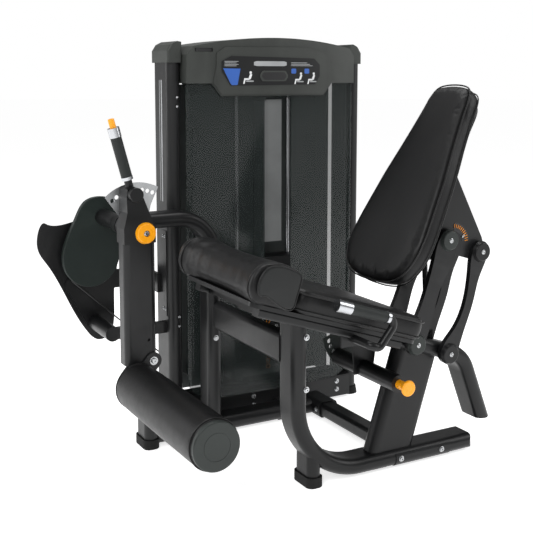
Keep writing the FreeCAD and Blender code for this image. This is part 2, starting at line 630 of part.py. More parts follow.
# ================================================================ cam unit
cam_hull = [(-390, 900), (-420, 948), (-480, 966), (-545, 950), (-590, 880), (-632, 790),
            (-648, 712), (-626, 640), (-570, 596), (-505, 590), (-440, 628), (-404, 700),
            (-392, 800)]
cam = smooth_xz(cam_hull, CY - size("cam_thick") / 2.0, CY + size("cam_thick") / 2.0)
rim = cam.makeFillet(3.0, [e for e in cam.Edges if e.BoundBox.YLength < 0.1])
cam = rim.cut(y_rod(size("shaft_radius"), PIVOT_X, PIVOT_Z, 800, 960))
add("drive_cam", cam)
shaft = y_rod(size("shaft_radius"), PIVOT_X, PIVOT_Z, 388, guard_y + 10)
add("cam_shaft", shaft)
hub = y_tube(34, size("shaft_radius"), PIVOT_X, PIVOT_Z, 600, CY - size("cam_thick") / 2.0)
hub_cone = Part.makeCone(46, 34, 90, V(PIVOT_X, 600, PIVOT_Z), V(0, 1, 0))
hub = hub.fuse(hub_cone).cut(y_rod(size("shaft_radius"), PIVOT_X, PIVOT_Z, 500, 900))
add("cam_hub", hub.removeSplitter())


def polar(radius, degrees):
    a = math.radians(degrees)
    return (PIVOT_X + radius * math.cos(a), PIVOT_Z + radius * math.sin(a))


sector_y0, sector_y1 = size("arm_near") + size("arm_deep") + 2, size("arm_near") + size("arm_deep") + 8
sector_points = [polar(184, a) for a in range(62, 139, 6)]
sector_points += [polar(120, 138), polar(40, 160), polar(40, 200), polar(40, 250),
                  polar(40, 300), polar(40, 340), polar(40, 20), polar(110, 60)]
sector = polygon_xz(sector_points, sector_y0, sector_y1)
sector = sector.cut(y_rod(size("shaft_radius"), PIVOT_X, PIVOT_Z, 400, 600))
for angle in (66, 74, 82, 90, 98, 106, 114, 122, 130):
    hx, hz = polar(155, angle)
    sector = sector.cut(y_rod(8.4, hx, hz, sector_y0 - 2, sector_y1 + 2))
add("selector_plate", sector)

# ================================================================ leg arm
AN, AD = size("arm_near"), size("arm_deep")
AX, AW = size("arm_x"), size("arm_wide") / 2.0
ARM_LOW, SEAM = 376.0, 842.0
column = straight_oval(V(AX, AN + AD / 2, ARM_LOW), V(AX, AN + AD / 2, SEAM),
                       V(0, 1, 0), AD, 2 * AW, 22)
yoke_x, yoke_z = size("yoke_x"), size("yoke_z")
column = column.cut(box(AX - AW - 5, AX + AW + 5, AN - 2, AN + AD + 2, 300, 349))
lug = y_rod(27, yoke_x, yoke_z, AN, AN + AD)
column = column.fuse(lug).cut(y_rod(8 + FIT, yoke_x, yoke_z, AN - 5, AN + AD + 5))
column = column.cut(y_rod(6, AX + 28, 470, AN - 5, AN + 8)).removeSplitter()
add("arm_column", column)
boss = polar(155, 106)
head_points = [(AX - AW, SEAM), (AX - AW, 900), (AX - AW + 14, 960), (boss[0] - 30, 1016),
               (boss[0] - 26, 1048), (boss[0], 1058), (boss[0] + 28, 1046), (boss[0] + 34, 1020),
               (AX + AW - 22, 950), (AX + AW, 902), (AX + AW, SEAM)]
arm_head = polygon_xz(head_points, AN, AN + AD)
arm_head = arm_head.cut(y_rod(size("shaft_radius") + FIT, PIVOT_X, PIVOT_Z, AN - 5, AN + AD + 5))
arm_head = arm_head.cut(y_rod(8 + FIT, boss[0], boss[1], AN - 5, AN + AD + 5))
add("arm_head", arm_head)
boss_ring = y_tube(27, 12.5, boss[0], boss[1], AN - 22, AN)
add("plunger_housing", boss_ring)
pivot_cap = Part.makeCone(41, 36, 14, V(PIVOT_X, AN, PIVOT_Z), V(0, -1, 0))
pivot_cap = pivot_cap.makeFillet(4, [e for e in pivot_cap.Edges if e.BoundBox.YMax < AN - 10])
pivot_cap = pivot_cap.cut(y_rod(12, PIVOT_X, PIVOT_Z, AN - 16, AN - 8))
pivot_cap = pivot_cap.cut(y_rod(16, PIVOT_X, PIVOT_Z, AN - 5, AN + 1))
add("pivot_cap", pivot_cap)
add("pivot_cap_bolt", hex_bolt(V(PIVOT_X, AN - 8, PIVOT_Z), V(0, -1, 0), 8.5, 7, 11.0))

# start lever on the arm
lever_a = V(boss[0] - 4, AN + AD / 2, 1056)
lever_dir = V(-0.262, 0, 0.965).normalize()


def on_lever(distance):
    return lever_a + lever_dir * distance


add("lever_stem", tube(15, 9, on_lever(-6), on_lever(26)).cut(arm_head))
add("lever_ring", tube(22, 9, on_lever(26), on_lever(38)))
add("lever_grip", tube(21, 9, on_lever(38), on_lever(192)))
collar = tube(22.5, 12.0 + FIT, on_lever(192), on_lever(228))
add("lever_collar", collar)
button = rod(12.0, on_lever(200), on_lever(262))
button = button.makeFillet(3, [e for e in button.Edges if (e.BoundBox.Center - on_lever(262)).Length < 8])
add("start_button", button)
plunger = y_rod(8.0, boss[0], boss[1], AN - 15, AN + AD + 1.4)
plunger = plunger.fuse(y_rod(12.0, boss[0], boss[1], AN - 14, AN - 2)).removeSplitter()
plunger = plunger.cut(box(-900, 0, AN + AD + 1.4, 600, 900, 1200))
add("arm_plunger", plunger)
boss_cap = y_rod(27, boss[0], boss[1], AN - 28, AN - 22)
boss_cap = boss_cap.makeFillet(3, [e for e in boss_cap.Edges if e.BoundBox.YMax < AN - 27])
add("plunger_cap", boss_cap)

# yoke and roller
RX, RZ, RR = size("roller_x"), size("roller_z"), size("roller_radius")
RL = size("roller_length")
roller_far = AN - 12.0
roller_near = roller_far - RL


def yoke_cheek(y0, y1):
    cheek = slot_plate(RX, RZ, yoke_x, yoke_z, 32, y0, y1)
    return cheek


cheek_near = yoke_cheek(AN - 9, AN - 1)
cheek_far = yoke_cheek(AN + AD + 1, AN + AD + 9)
spine = y_rod(20, RX, RZ, AN - 9, AN + AD + 9)
yoke = joined([cheek_near, cheek_far, spine])
yoke = yoke.cut(y_rod(14.0, RX, RZ, AN - 20, AN + AD + 20))
yoke = yoke.cut(y_rod(8.0, yoke_x, yoke_z, AN - 20, AN + AD + 20))
add("roller_yoke", yoke)
yoke_bolt = y_rod(8.0, yoke_x, yoke_z, AN - 9, AN + AD + 9)
yoke_bolt = yoke_bolt.fuse(hex_bolt(V(yoke_x, AN - 9, yoke_z), V(0, -1, 0), 11, 8, 16))
yoke_bolt = yoke_bolt.fuse(hex_bolt(V(yoke_x, AN + AD + 9, yoke_z), V(0, 1, 0), 11, 8, 16))
add("yoke_bolt", yoke_bolt.removeSplitter())
axle = joined([y_rod(14.0, RX, RZ, roller_near + 8, AN + AD + 9),
               y_rod(18, RX, RZ, roller_near + 2, roller_near + 8)])
add("roller_axle", axle)
foam = y_tube(RR, 15.6, RX, RZ, roller_near + 12, roller_far - 6)
foam = foam.makeFillet(12, [e for e in foam.Edges if e.BoundBox.YLength < 0.1
                            and e.BoundBox.XLength > 100])
tube_in = y_tube(15.6, 14.0 + FIT, RX, RZ, roller_near + 12, roller_far - 6)
add("ankle_roller", foam)
add("roller_sleeve", tube_in)
near_cap = y_rod(RR - 6, RX, RZ, roller_near - 4, roller_near + 12)
near_cap = near_cap.makeFillet(5, [e for e in near_cap.Edges if e.BoundBox.YMax < roller_near])
ring_cut = y_tube(47, 45.6, RX, RZ, roller_near - 6, roller_near - 3)
near_cap = near_cap.cut(ring_cut).cut(y_rod(18.4, RX, RZ, roller_near + 1.5, roller_near + 14))
add("roller_cap", near_cap)
far_cap = y_tube(RR - 8, 14.0 + FIT, RX, RZ, roller_far - 6, roller_far)
add("roller_end_disc", far_cap)

# ================================================================ seat
TILT = size("seat_tilt")
tilt = math.radians(TILT)
SEAT_O = V(-235, 0, 778)                 # front top edge of the cushion


def seat_local(shape):
    """Turn a shape drawn level about the cushion's front top edge to the seat's tilt."""
    return rotated(shape, SEAT_O, TILT)


SW = size("seat_wide") / 2.0
ST = size("seat_thick")
near_side, far_side = SEAT_Y - SW, SEAT_Y + SW
cushion = box(SEAT_O.x + 4, SEAT_O.x + 565, near_side, far_side, SEAT_O.z - ST, SEAT_O.z + 16)
cushion = fillet_along(cushion, 40, V(0, 0, 1))
cushion = cushion.makeFillet(22, [e for e in cushion.Edges if e.BoundBox.ZMin > SEAT_O.z + 15])
add("seat_cushion", seat_local(cushion))
board = box(SEAT_O.x - 140, SEAT_O.x + 550, near_side + 20, far_side - 20,
            SEAT_O.z - ST - 14, SEAT_O.z - ST)
board = fillet_along(board, 30, V(0, 0, 1))
board = seat_local(board)
board = board.cut(seat_tube)
add("seat_board", max(board.Solids, key=lambda s: s.Volume))


def roll_section(y, grow):
    front, back = SEAT_O.x - 182 * grow, SEAT_O.x
    low, high = SEAT_O.z - ST, SEAT_O.z + 78 * grow - 6
    pts = [V(back, y, low), V(back, y, high - 34), V(back - 34, y, high - 5),
           V(back - 78, y, high), V(front + 26, y, high - 22), V(front, y, high - 76),
           V(front + 12, y, low + 22), V(front + 52, y, low)]
    edges = [Part.makeLine(pts[7], pts[0]), Part.makeLine(pts[0], pts[1])]
    curve = Part.BSplineCurve()
    curve.interpolate(pts[1:])
    edges.append(curve.toShape())
    return Part.Wire(edges)


stations = [(near_side, 0.98), (SEAT_Y - 150, 0.90), (SEAT_Y, 0.86), (SEAT_Y + 150, 0.90),
            (far_side, 1.06)]
roll = Part.makeLoft([roll_section(y, g) for y, g in stations], True, False)
add("thigh_roll", seat_local(roll))
panel = Part.Face(roll_section(near_side, 0.90)).extrude(V(0, -10, 0))
panel = panel.makeFillet(3, [e for e in panel.Edges if e.BoundBox.YMax < near_side - 9])
add("roll_end_panel", seat_local(panel))

rails_under = []
for ry in (near_side + 60, far_side - 60):
    rail = box(SEAT_O.x - 100, SEAT_O.x + 500, ry - 20, ry + 20, SEAT_O.z - ST - 44,
               SEAT_O.z - ST - 14, 8, V(1, 0, 0))
    rails_under.append(rail)
for rx in (SEAT_O.x - 60, SEAT_O.x + 420):
    rails_under.append(box(rx, rx + 40, near_side + 60, far_side - 60, SEAT_O.z - ST - 42,
                           SEAT_O.z - ST - 16))
seat_rails = seat_local(joined(rails_under)).cut(seat_tube)
add("seat_frame", Part.makeCompound(seat_rails.Solids) if len(seat_rails.Solids) > 1 else seat_rails)

# ================================================================ hand grips
slope = V(math.cos(tilt), 0, -math.sin(tilt))


def handle(name, side):
    y_grip = SEAT_Y + side * (SW + 55)
    y_fix = SEAT_Y + side * (SW - 62)
    a = V(-106, y_grip, 722)
    b = a + slope * 236
    c = V(b.x - 60, y_grip, b.z - 92)
    bent = round_pipe([a + slope * 4, b, c + V(-14, 0, 4), V(10, y_grip, 575), V(10, y_fix, 575)],
                      [25.0, 20.0, 16.0], 14.0)
    return a, bent, y_grip, y_fix


for side, tag in ((-1, "near"), (1, "far")):
    a, bent, y_grip, y_fix = handle(tag, side)
    add("handle_tube_" + tag, bent)
    grip = tube(size("grip_radius"), 14.0, a + slope * 34, a + slope * (34 + size("grip_length")))
    add("handle_grip_" + tag, grip)
    cap = rod(21, a - slope * 22, a + slope * 34)
    cap = cap.cut(rod(14.0, a + slope * 4, a + slope * 40))
    ring = tube(21, 14.0, a + slope * (34 + size("grip_length")),
                a + slope * (46 + size("grip_length")))
    add("handle_chrome_" + tag, Part.makeCompound([cap, ring]))
    plate = box(-34, 66, min(y_fix, y_fix + side * 8), max(y_fix, y_fix + side * 8), 545, 632)
    plate = plate.cut(rod(14.0, V(10, y_fix - 30, 575), V(10, y_fix + 30, 575)))
    plate = plate.cut(seat_rails).cut(board)
    plate = max(plate.Solids, key=lambda s: s.Volume)
    add("handle_bracket_" + tag, plate)

# ================================================================ adjuster
KX, KZ = size("knob_x"), size("knob_z")
tube_near, tube_far = -246.0, 150.0
KNOB_FACE = -308.0
adj = y_tube(32, 9.0 + FIT, KX, KZ, tube_near, tube_far)
hanger = polygon_xz([(KX - 44, KZ - 20), (KX + 40, KZ - 20), (KX + 62, 520), (KX - 60, 560)],
                    MAIN_Y + 62, MAIN_Y + 70)
hanger = hanger.cut(y_rod(32, KX, KZ, -300, 300))
stay = polygon_xz([(KX - 60, 480), (KX + 50, 440), (KX + 60, 500), (KX - 50, 540)],
                  MAIN_Y + 30, MAIN_Y + 70)
hanger = joined([hanger, stay]).cut(seat_tube).cut(board).cut(seat_rails)
hanger = max(hanger.Solids, key=lambda s: s.Volume)
add("adjuster_tube", adj)
add("adjuster_hanger", hanger)
knob = y_rod(size("knob_radius"), KX, KZ, KNOB_FACE, KNOB_FACE + 13)
knob = knob.makeFillet(6, [e for e in knob.Edges if e.BoundBox.YLength < 0.1])
neck = Part.makeCone(24, 17, 14, V(KX, KNOB_FACE + 12, KZ), V(0, 1, 0))
neck = neck.fuse(y_rod(17, KX, KZ, KNOB_FACE + 25, tube_near - 2))
spindle = y_rod(9.0, KX, KZ, tube_near - 10, tube_far + 11.4)
add("adjuster_knob", joined([knob, neck, spindle]))

# ================================================================ backrest linkage
FLX, FLZ = size("front_low_x"), size("front_low_z")
LX, LZ = size("link_len_x"), size("link_len_z")
DX, DZ = size("link_gap_x"), size("link_gap_z")
FUX, FUZ = FLX + LX, FLZ + LZ
RLX, RLZ = FLX + DX, FLZ + DZ
RUX, RUZ = FUX + DX, FUZ + DZ
near_link_y = (MAIN_Y - 60 - 26, MAIN_Y - 60 - 6)
far_link_y = (MAIN_Y + 60 + 6, MAIN_Y + 60 + 26)

front_outline = [(FLX + 40, FLZ + 4), (FLX + 78, FLZ + 110), (FLX + 108, FLZ + 200),
                 (FUX + 14, FUZ - 96), (FUX + 36, FUZ - 30), (FUX + 34, FUZ + 22), (FUX, FUZ + 42),
                 (FUX - 36, FUZ + 20), (FUX - 66, FUZ - 60), (FLX + 52, FLZ + 232),
                 (FLX + 22, FLZ + 150), (FLX - 26, FLZ + 52), (FLX - 40, FLZ - 2),
                 (FLX - 20, FLZ - 36), (FLX + 20, FLZ - 36)]
rear_outline = [(RLX + 42, RLZ + 2), (RLX + 74, RLZ + 92), (RLX + 112, RLZ + 190),
                (RUX - 4, RUZ - 96), (RUX + 30, RUZ - 24), (RUX + 32, RUZ + 16), (RUX, RUZ + 38),
                (RUX - 34, RUZ + 12), (RUX - 50, RUZ - 60), (RLX + 88, RLZ + 260),
                (RLX + 70, RLZ + 180), (RLX + 20, RLZ + 90), (RLX - 32, RLZ + 30),
                (RLX - 40, RLZ - 8), (RLX, RLZ - 40)]
PIN_R = 15.0


def links(outline, low, high):
    pair = []
    for y0, y1 in (near_link_y, far_link_y):
        plate = smooth_xz(outline, y0, y1)
        plate = plate.cut(y_rod(PIN_R, low[0], low[1], y0 - 1, y1 + 1))
        plate = plate.cut(y_rod(PIN_R, high[0], high[1], y0 - 1, y1 + 1))
        pair.append(plate)
    return pair


front_pair = links(front_outline, (FLX, FLZ), (FUX, FUZ))
rear_pair = links(rear_outline, (RLX, RLZ), (RUX, RUZ))
add("front_link_near", front_pair[0])
add("front_link_far", front_pair[1])
add("rear_link_near", rear_pair[0])
add("rear_link_far", rear_pair[1])

bored = seat_tube.cut(y_rod(PIN_R + FIT, FLX, FLZ, -300, 300))
bored = bored.cut(y_rod(PIN_R + FIT, RLX, RLZ, -300, 300))
bosses = []
for px, pz in ((FLX, FLZ), (RLX, RLZ)):
    for y0, y1 in ((MAIN_Y - 66 + 0.3, MAIN_Y - 56), (MAIN_Y + 56, MAIN_Y + 66 - 0.3)):
        bosses.append(y_rod(30, px, pz, y0, y1))
bored = bored.multiFuse(bosses).removeSplitter()
bored = bored.cut(y_rod(PIN_R + FIT, FLX, FLZ, -300, 300))
bored = bored.cut(y_rod(PIN_R + FIT, RLX, RLZ, -300, 300))
add("seat_tube", bored)

PIN_Y0, PIN_Y1 = near_link_y[0], far_link_y[1]


def cap_pair(x, z):
    caps = []
    for y, direction in ((PIN_Y0, -1), (PIN_Y1, 1)):
        dome = Part.makeCone(41, 34, 14, V(x, y, z), V(0, direction, 0))
        outer = [e for e in dome.Edges if abs(e.BoundBox.Center.y - (y + 14 * direction)) < 0.5]
        dome = dome.makeFillet(5, outer)
        caps.append(dome)
    return caps


front_low = y_rod(PIN_R, FLX, FLZ, PIN_Y0, 158.0 + 20)
add("front_link_shaft", front_low)
add("rear_link_shaft", y_rod(PIN_R, RLX, RLZ, PIN_Y0, PIN_Y1))
add("front_upper_shaft", y_rod(PIN_R, FUX, FUZ, PIN_Y0, PIN_Y1))
add("rear_upper_shaft", y_rod(PIN_R, RUX, RUZ, PIN_Y0, PIN_Y1))
far_cap_front = y_tube(40, PIN_R, FLX, FLZ, PIN_Y1, PIN_Y1 + 12)
add("front_link_caps", Part.makeCompound(
    [cap_pair(FLX, FLZ)[0], far_cap_front] + cap_pair(FUX, FUZ)))
add("rear_link_caps", Part.makeCompound(cap_pair(RLX, RLZ) + cap_pair(RUX, RUZ)))

# perforated sector turned by the front link shaft, locked by the pop-pin
sec_y0 = tube_far + 12.0
knob_r = math.hypot(KX - FLX, KZ - FLZ)
knob_angle = math.degrees(math.atan2(KZ - FLZ, KX - FLX))


def about_front(radius, degrees):
    a = math.radians(degrees)
    return (FLX + radius * math.cos(a), FLZ + radius * math.sin(a))


steps = [knob_angle + offset for offset in (-30, -18, -6, 6, 18, 30)]
sector_out = [about_front(knob_r + 26, a) for a in steps]
sector_in = [about_front(38, a) for a in (knob_angle + 60, knob_angle + 120, knob_angle + 180,
                                          knob_angle + 240, knob_angle + 300)]
adj_sector = polygon_xz(sector_out + sector_in, sec_y0, sec_y0 + 6)
adj_sector = adj_sector.cut(y_rod(PIN_R, FLX, FLZ, 0, 300))
for offset in (-24, -16, -8, 0, 8, 16, 24):
    hx, hz = about_front(knob_r, knob_angle + offset)
    adj_sector = adj_sector.cut(y_rod(9.6, hx, hz, sec_y0 - 1, sec_y0 + 7))
add("adjuster_sector", adj_sector)

# backrest bracket, board and pad
LEAN = size("back_lean")
lean = math.radians(LEAN)
up_dir = V(math.sin(lean), 0, math.cos(lean))
out_dir = V(math.cos(lean), 0, -math.sin(lean))
PAD_LOW = V(209, SEAT_Y, 722)
PT = size("pad_thick")


def pad_point(across, along, depth):
    return PAD_LOW + V(0, across, 0) + up_dir * along + out_dir * depth


half_outline = [(0, 8), (120, 18), (188, 66), (214, 150), (208, 260), (182, 420), (150, 560),
                (122, 700), (106, 790), (70, 816), (0, 822)]


def pad_outline(scale, depth):
    right = [pad_point(w * scale, 415 + (l - 415) * (1 - (1 - scale) * 0.55), depth)
             for w, l in half_outline]
    left = [pad_point(-w * scale, 415 + (l - 415) * (1 - (1 - scale) * 0.55), depth)
            for w, l in reversed(half_outline[1:-1])]
    curve = Part.BSplineCurve()
    curve.interpolate(right + left, PeriodicFlag=True)
    return Part.Wire(curve.toShape())


front_pad = Part.makeLoft([pad_outline(0.90, 0), pad_outline(1.0, 22), pad_outline(1.0, 60),
                           pad_outline(0.93, PT)], True, False)
add("backrest_pad", front_pad)
back_board = Part.Face(pad_outline(0.86, PT)).extrude(out_dir * 12)
add("backrest_board", back_board)

board_back = PT + 12.0


def back_point(along, depth):
    p = pad_point(0, along, board_back + depth)
    return (p.x, p.z)


bracket_points = [back_point(110, 0), back_point(500, 0), back_point(500, 20),
                  (RUX + 22, RUZ + 50), (RUX + 34, RUZ + 8), (RUX + 20, RUZ - 28),
                  (RUX - 12, RUZ - 36), (FUX + 10, FUZ - 52), (FUX - 40, FUZ - 52)]
sides = []
for y0, y1 in ((near_link_y[1] + 2, near_link_y[1] + 12), (far_link_y[0] - 12, far_link_y[0] - 2)):
    sides.append(polygon_xz(bracket_points, y0, y1))
back_plate_pts = [back_point(110, 0), back_point(500, 0), back_point(500, 10), back_point(110, 10)]
sides.append(polygon_xz(back_plate_pts, near_link_y[1] + 2, far_link_y[0] - 2))
back_bracket = joined(sides)
back_bracket = back_bracket.cut(y_rod(PIN_R + FIT, FUX, FUZ, -400, 400))
back_bracket = back_bracket.cut(y_rod(PIN_R + 1.5, RUX, RUZ, -400, 400))
add("back_bracket", back_bracket)
spacer = y_tube(30, PIN_R, FUX, FUZ, near_link_y[1] + 13, far_link_y[0] - 13)
spacer_rear = y_tube(30, PIN_R, RUX, RUZ, near_link_y[1] + 14, far_link_y[0] - 14)
add("front_spacer", spacer)
add("rear_spacer", spacer_rear)

# gas spring between the seat tube and the back bracket
gas_low = V(FLX + 116, MAIN_Y, 0)
gas_low.z = main_mid(gas_low.x) + half_slant + 20
gas_high = V(FUX - 46, MAIN_Y, FUZ - 70)
gas_dir = (gas_high - gas_low).normalize()
gas_len = (gas_high - gas_low).Length
lug_low = box(gas_low.x - 14, gas_low.x + 14, MAIN_Y - 18, MAIN_Y - 10, gas_low.z - 40,
              gas_low.z + 14)
lug_low2 = box(gas_low.x - 14, gas_low.x + 14, MAIN_Y + 10, MAIN_Y + 18, gas_low.z - 40,
               gas_low.z + 14)
lugs = lug_low.fuse(lug_low2).fuse(box(gas_low.x - 14, gas_low.x + 14, MAIN_Y - 18, MAIN_Y + 18,
                                       gas_low.z - 40, gas_low.z - 14))
lugs = lugs.removeSplitter().cut(bored).cut(y_rod(5, gas_low.x, gas_low.z, -200, 50))
lugs = max(lugs.Solids, key=lambda s: s.Volume)
add("gas_spring_lug", lugs)
eye = y_tube(12, 5.0 + FIT, gas_low.x, gas_low.z, MAIN_Y - 9, MAIN_Y + 9)
gas_rod = rod(4.5, gas_low + gas_dir * 10, gas_low + gas_dir * (gas_len - 70))
add("gas_spring_rod", eye.fuse(gas_rod).cut(
    y_rod(5.0 + FIT, gas_low.x, gas_low.z, -200, 50)).removeSplitter())
add("gas_spring_pin", y_rod(5.0, gas_low.x, gas_low.z, MAIN_Y - 22, MAIN_Y + 22))
cyl_low = gas_low + gas_dir * (gas_len * 0.48)
cylinder = rod(10.5, cyl_low, gas_high - gas_dir * 8)
eye_high = y_rod(13.5, gas_high.x, gas_high.z, MAIN_Y - 8, MAIN_Y + 8)
cylinder = cylinder.fuse(eye_high).removeSplitter()
cylinder = cylinder.cut(rod(4.5 + FIT, cyl_low - gas_dir * 5, gas_low + gas_dir * (gas_len - 30)))
cylinder = cylinder.cut(y_rod(8.6, gas_high.x, gas_high.z, -200, 50))
add("gas_spring_cylinder", cylinder)
ear = []
for y0, y1 in ((MAIN_Y - 20, MAIN_Y - 12), (MAIN_Y + 12, MAIN_Y + 20)):
    ear.append(polygon_xz([(gas_high.x - 13, gas_high.z - 12), (gas_high.x + 14, gas_high.z - 12),
                           (gas_high.x + 34, gas_high.z + 40), back_point(190, 0),
                           back_point(140, 0)], y0, y1))
ear.append(y_rod(4.0, gas_high.x, gas_high.z, MAIN_Y - 20, MAIN_Y + 20))
ears = joined(ear).cut(back_board).cut(back_bracket)
ears = ears.cut(y_rod(30.5, FUX, FUZ, -300, 300))
solid_ears = [s for s in ears.Solids if s.Volume > 500]
add("gas_spring_ears", Part.makeCompound(solid_ears) if len(solid_ears) > 1 else solid_ears[0])

# ================================================================ fasteners on the frame
near_face = MAIN_Y - WIDE / 2.0
J_near = V(0, -1, 0)
frame_bolts = []
for bx, bz in ((J_X + 20, 560), (J_X + 20, 372), (322, tube_mid), (514, tube_mid)):
    frame_bolts.append(hex_bolt(V(bx, near_face - (2.5 if bz < 100 else 0.0), bz), J_near, 8, 6, 11))
frame_bolts.append(hex_bolt(V(-139, BASE_Y - 55, 410), J_near, 8, 6, 11))
frame_bolts.append(hex_bolt(V(327, 456, tube_mid), V(-1, 0, 0), 8, 6, 11))
for bx in (110.0, 540.0):
    for bz in (44.0, 82.0):
        frame_bolts.append(hex_bolt(V(bx, FRONT - 28, bz), J_near, 8, 6, 11))
for by in (FRONT + 44, FRONT + 64):
    for bz in (500.0, 806.0):
        frame_bolts.append(hex_bolt(V(LEFT - 33, by, bz), V(-1, 0, 0), 5, 4, 6.5))
add("frame_bolts", Part.makeCompound(frame_bolts))

# ================================================================ sub-parts
# name: (how its pieces are held together, pieces)
GROUPS = {
    "foot_frame": ("weld", ["foot_frame_j", "near_leg", "rear_post", "foot_sleeve"]),
    "base_frame": ("weld", ["base_tube_x", "base_tube_y", "base_sleeve", "left_leg", "side_beam",
                            "tower_ties"]),
    "curved_upright": ("weld", ["curved_upright"]),
    "pivot_housing": ("weld", ["pivot_housing"]),
    "seat_tube": ("weld", ["seat_tube", "gas_spring_lug", "gas_spring_pin"]),
    "seat_frame": ("set", ["seat_board", "seat_frame", "handle_bracket_near",
                           "handle_bracket_far"]),
    "adjuster_tube": ("weld", ["adjuster_tube", "adjuster_hanger"]),
    "tower_posts": ("set", ["tower_post_left", "tower_post_right", "post_slot_cover"]),
    "tower_caps": ("set", ["tower_cap_left", "tower_cap_right"]),
    "tower_header": ("set", ["tower_header"]),
    "tower_base": ("weld", ["tower_base", "stack_rest"]),
    "tower_top_beam": ("weld", ["tower_top_beam", "top_pulley_bracket"]),
    "lower_pulley_bracket": ("weld", ["lower_pulley_bracket"]),
    "placard_panel": ("set", ["placard_panel"]),
    "front_shroud": ("set", ["front_shroud"]),
    "rear_shroud": ("set", ["rear_shroud"]),
    "inner_panel": ("set", ["inner_panel"]),
    "stack_plates_fixed": ("set", ["stack_plates_fixed"]),
    "guide_rods": ("set", ["guide_rods"]),
    "rubber_feet": ("set", ["rubber_feet", "frame_glides", "tower_feet", "stack_cushions"]),
    "drive_cable_run": ("set", ["drive_cable_run"]),
    "drive_cable_loop": ("set", ["drive_cable_loop"]),
    "cam_guard": ("weld", ["cam_guard", "guard_link", "guard_standoff"]),
    "seat_cushion": ("set", ["seat_cushion"]),
    "thigh_roll": ("set", ["thigh_roll"]),
    "roll_end_panel": ("set", ["roll_end_panel"]),
    "handle_tubes": ("set", ["handle_tube_near", "handle_tube_far"]),
    "handle_grips": ("set", ["handle_grip_near", "handle_grip_far"]),
    "handle_chrome": ("set", ["handle_chrome_near", "handle_chrome_far"]),
    "frame_bolts": ("set", ["frame_bolts"]),
    "stack_plates_lifted": ("set", ["stack_plates_lifted"]),
    "stack_head_plate": ("set", ["stack_head_plate"]),
    "selector_stem": ("set", ["selector_stem"]),
    "selector_pin": ("set", ["selector_pin"]),
    "drive_cable_drop": ("set", ["drive_cable_drop"]),
    "lower_pulley_left": ("set", ["lower_pulley_left"]),
    "lower_pulley_right": ("set", ["lower_pulley_right"]),
    "top_pulley": ("set", ["top_pulley"]),
    "drive_cam": ("set", ["drive_cam"]),
    "cam_shaft": ("weld", ["cam_shaft", "cam_hub"]),
    "selector_plate": ("set", ["selector_plate"]),
    "arm_column": ("set", ["arm_column"]),
    "arm_head": ("weld", ["arm_head", "plunger_housing", "plunger_cap", "lever_stem"]),
    "pivot_cap": ("set", ["pivot_cap"]),
    "lever_chrome": ("set", ["lever_ring", "lever_collar", "pivot_cap_bolt"]),
    "lever_grip": ("set", ["lever_grip"]),
    "start_button": ("set", ["start_button"]),
    "arm_plunger": ("set", ["arm_plunger"]),
    "roller_yoke": ("set", ["roller_yoke"]),
    "roller_axle": ("set", ["roller_axle", "yoke_bolt"]),
    "ankle_roller": ("set", ["ankle_roller"]),
    "roller_caps": ("set", ["roller_cap", "roller_end_disc", "roller_sleeve"]),
    "adjuster_knob": ("set", ["adjuster_knob"]),
    "front_links": ("set", ["front_link_near", "front_link_far"]),
    "front_link_pins": ("set", ["front_link_shaft", "front_upper_shaft", "front_link_caps",
                                "adjuster_sector", "front_spacer"]),
    "rear_links": ("set", ["rear_link_near", "rear_link_far", "rear_link_shaft",
                           "rear_upper_shaft", "rear_link_caps", "rear_spacer"]),
    "back_bracket": ("set", ["back_bracket", "gas_spring_ears", "backrest_board"]),
    "backrest_pad": ("set", ["backrest_pad"]),
    "gas_spring_rod": ("set", ["gas_spring_rod"]),
    "gas_spring_cylinder": ("set", ["gas_spring_cylinder"]),
}
# where two sub-parts of the frame meet, the first is notched for the others
NOTCHES = {
    "base_frame": ["foot_frame"],
    "seat_cushion": ["seat_tube"],
    "thigh_roll": ["seat_tube"],
    "seat_frame": ["handle_tubes"],
    "tower_header": ["tower_top_beam"],
    "front_shroud": ["frame_bolts"],
    "foot_frame": ["seat_cushion", "seat_frame"],
    "rubber_feet": ["base_frame", "foot_frame", "tower_base", "tower_posts",
                    "lower_pulley_bracket"],
}
shapes = {}
for name, (how, members) in GROUPS.items():
    parts = [pieces[member] for member in members]
    if how == "weld":
        shapes[name] = joined(parts)
    elif len(parts) > 1:
        shapes[name] = Part.makeCompound([solid for part in parts for solid in part.Solids])
    else:
        shapes[name] = parts[0]
for name, others in NOTCHES.items():
    solids = []
    for solid in shapes[name].Solids:
        for other in others:
            solid = solid.cut(shapes[other])
        solids += [piece for piece in solid.Solids if piece.Volume > 400]
    shapes[name] = solids[0] if len(solids) == 1 else Part.makeCompound(solids)

for name, shape in shapes.items():
    feature = doc.addObject("Part::Feature", name)
    feature.Label = name
    feature.Shape = shape
    feature.Placement = FreeCAD.Placement(SHIFT, FreeCAD.Rotation()).multiply(shape.Placement)
    nodes[name] = feature

# ================================================================ write out
doc.recompute()
bad = []
for item in doc.Objects:
    if "Invalid" in item.State or "Error" in item.State:
        bad.append("state " + item.Label)
bounds = FreeCAD.BoundBox()
for name, item in nodes.items():
    shape = item.Shape
    if shape.isNull() or not shape.isValid():
        bad.append("shape " + name)
    bounds.add(shape.optimalBoundingBox(False))
    solids = len(shape.Solids)
    low, high = shape.BoundBox, shape.BoundBox
    print("%-22s solids %d  x %.0f..%.0f  y %.0f..%.0f  z %.1f..%.1f" % (
        name, solids, low.XMin, low.XMax, low.YMin, low.YMax, low.ZMin, low.ZMax))
if bad:
    raise RuntimeError("broken: " + ", ".join(bad))
print("nodes", len(nodes), "bounds", bounds)
for name, item in nodes.items():
    item.Shape.exportStep("parts/%s.step" % name)
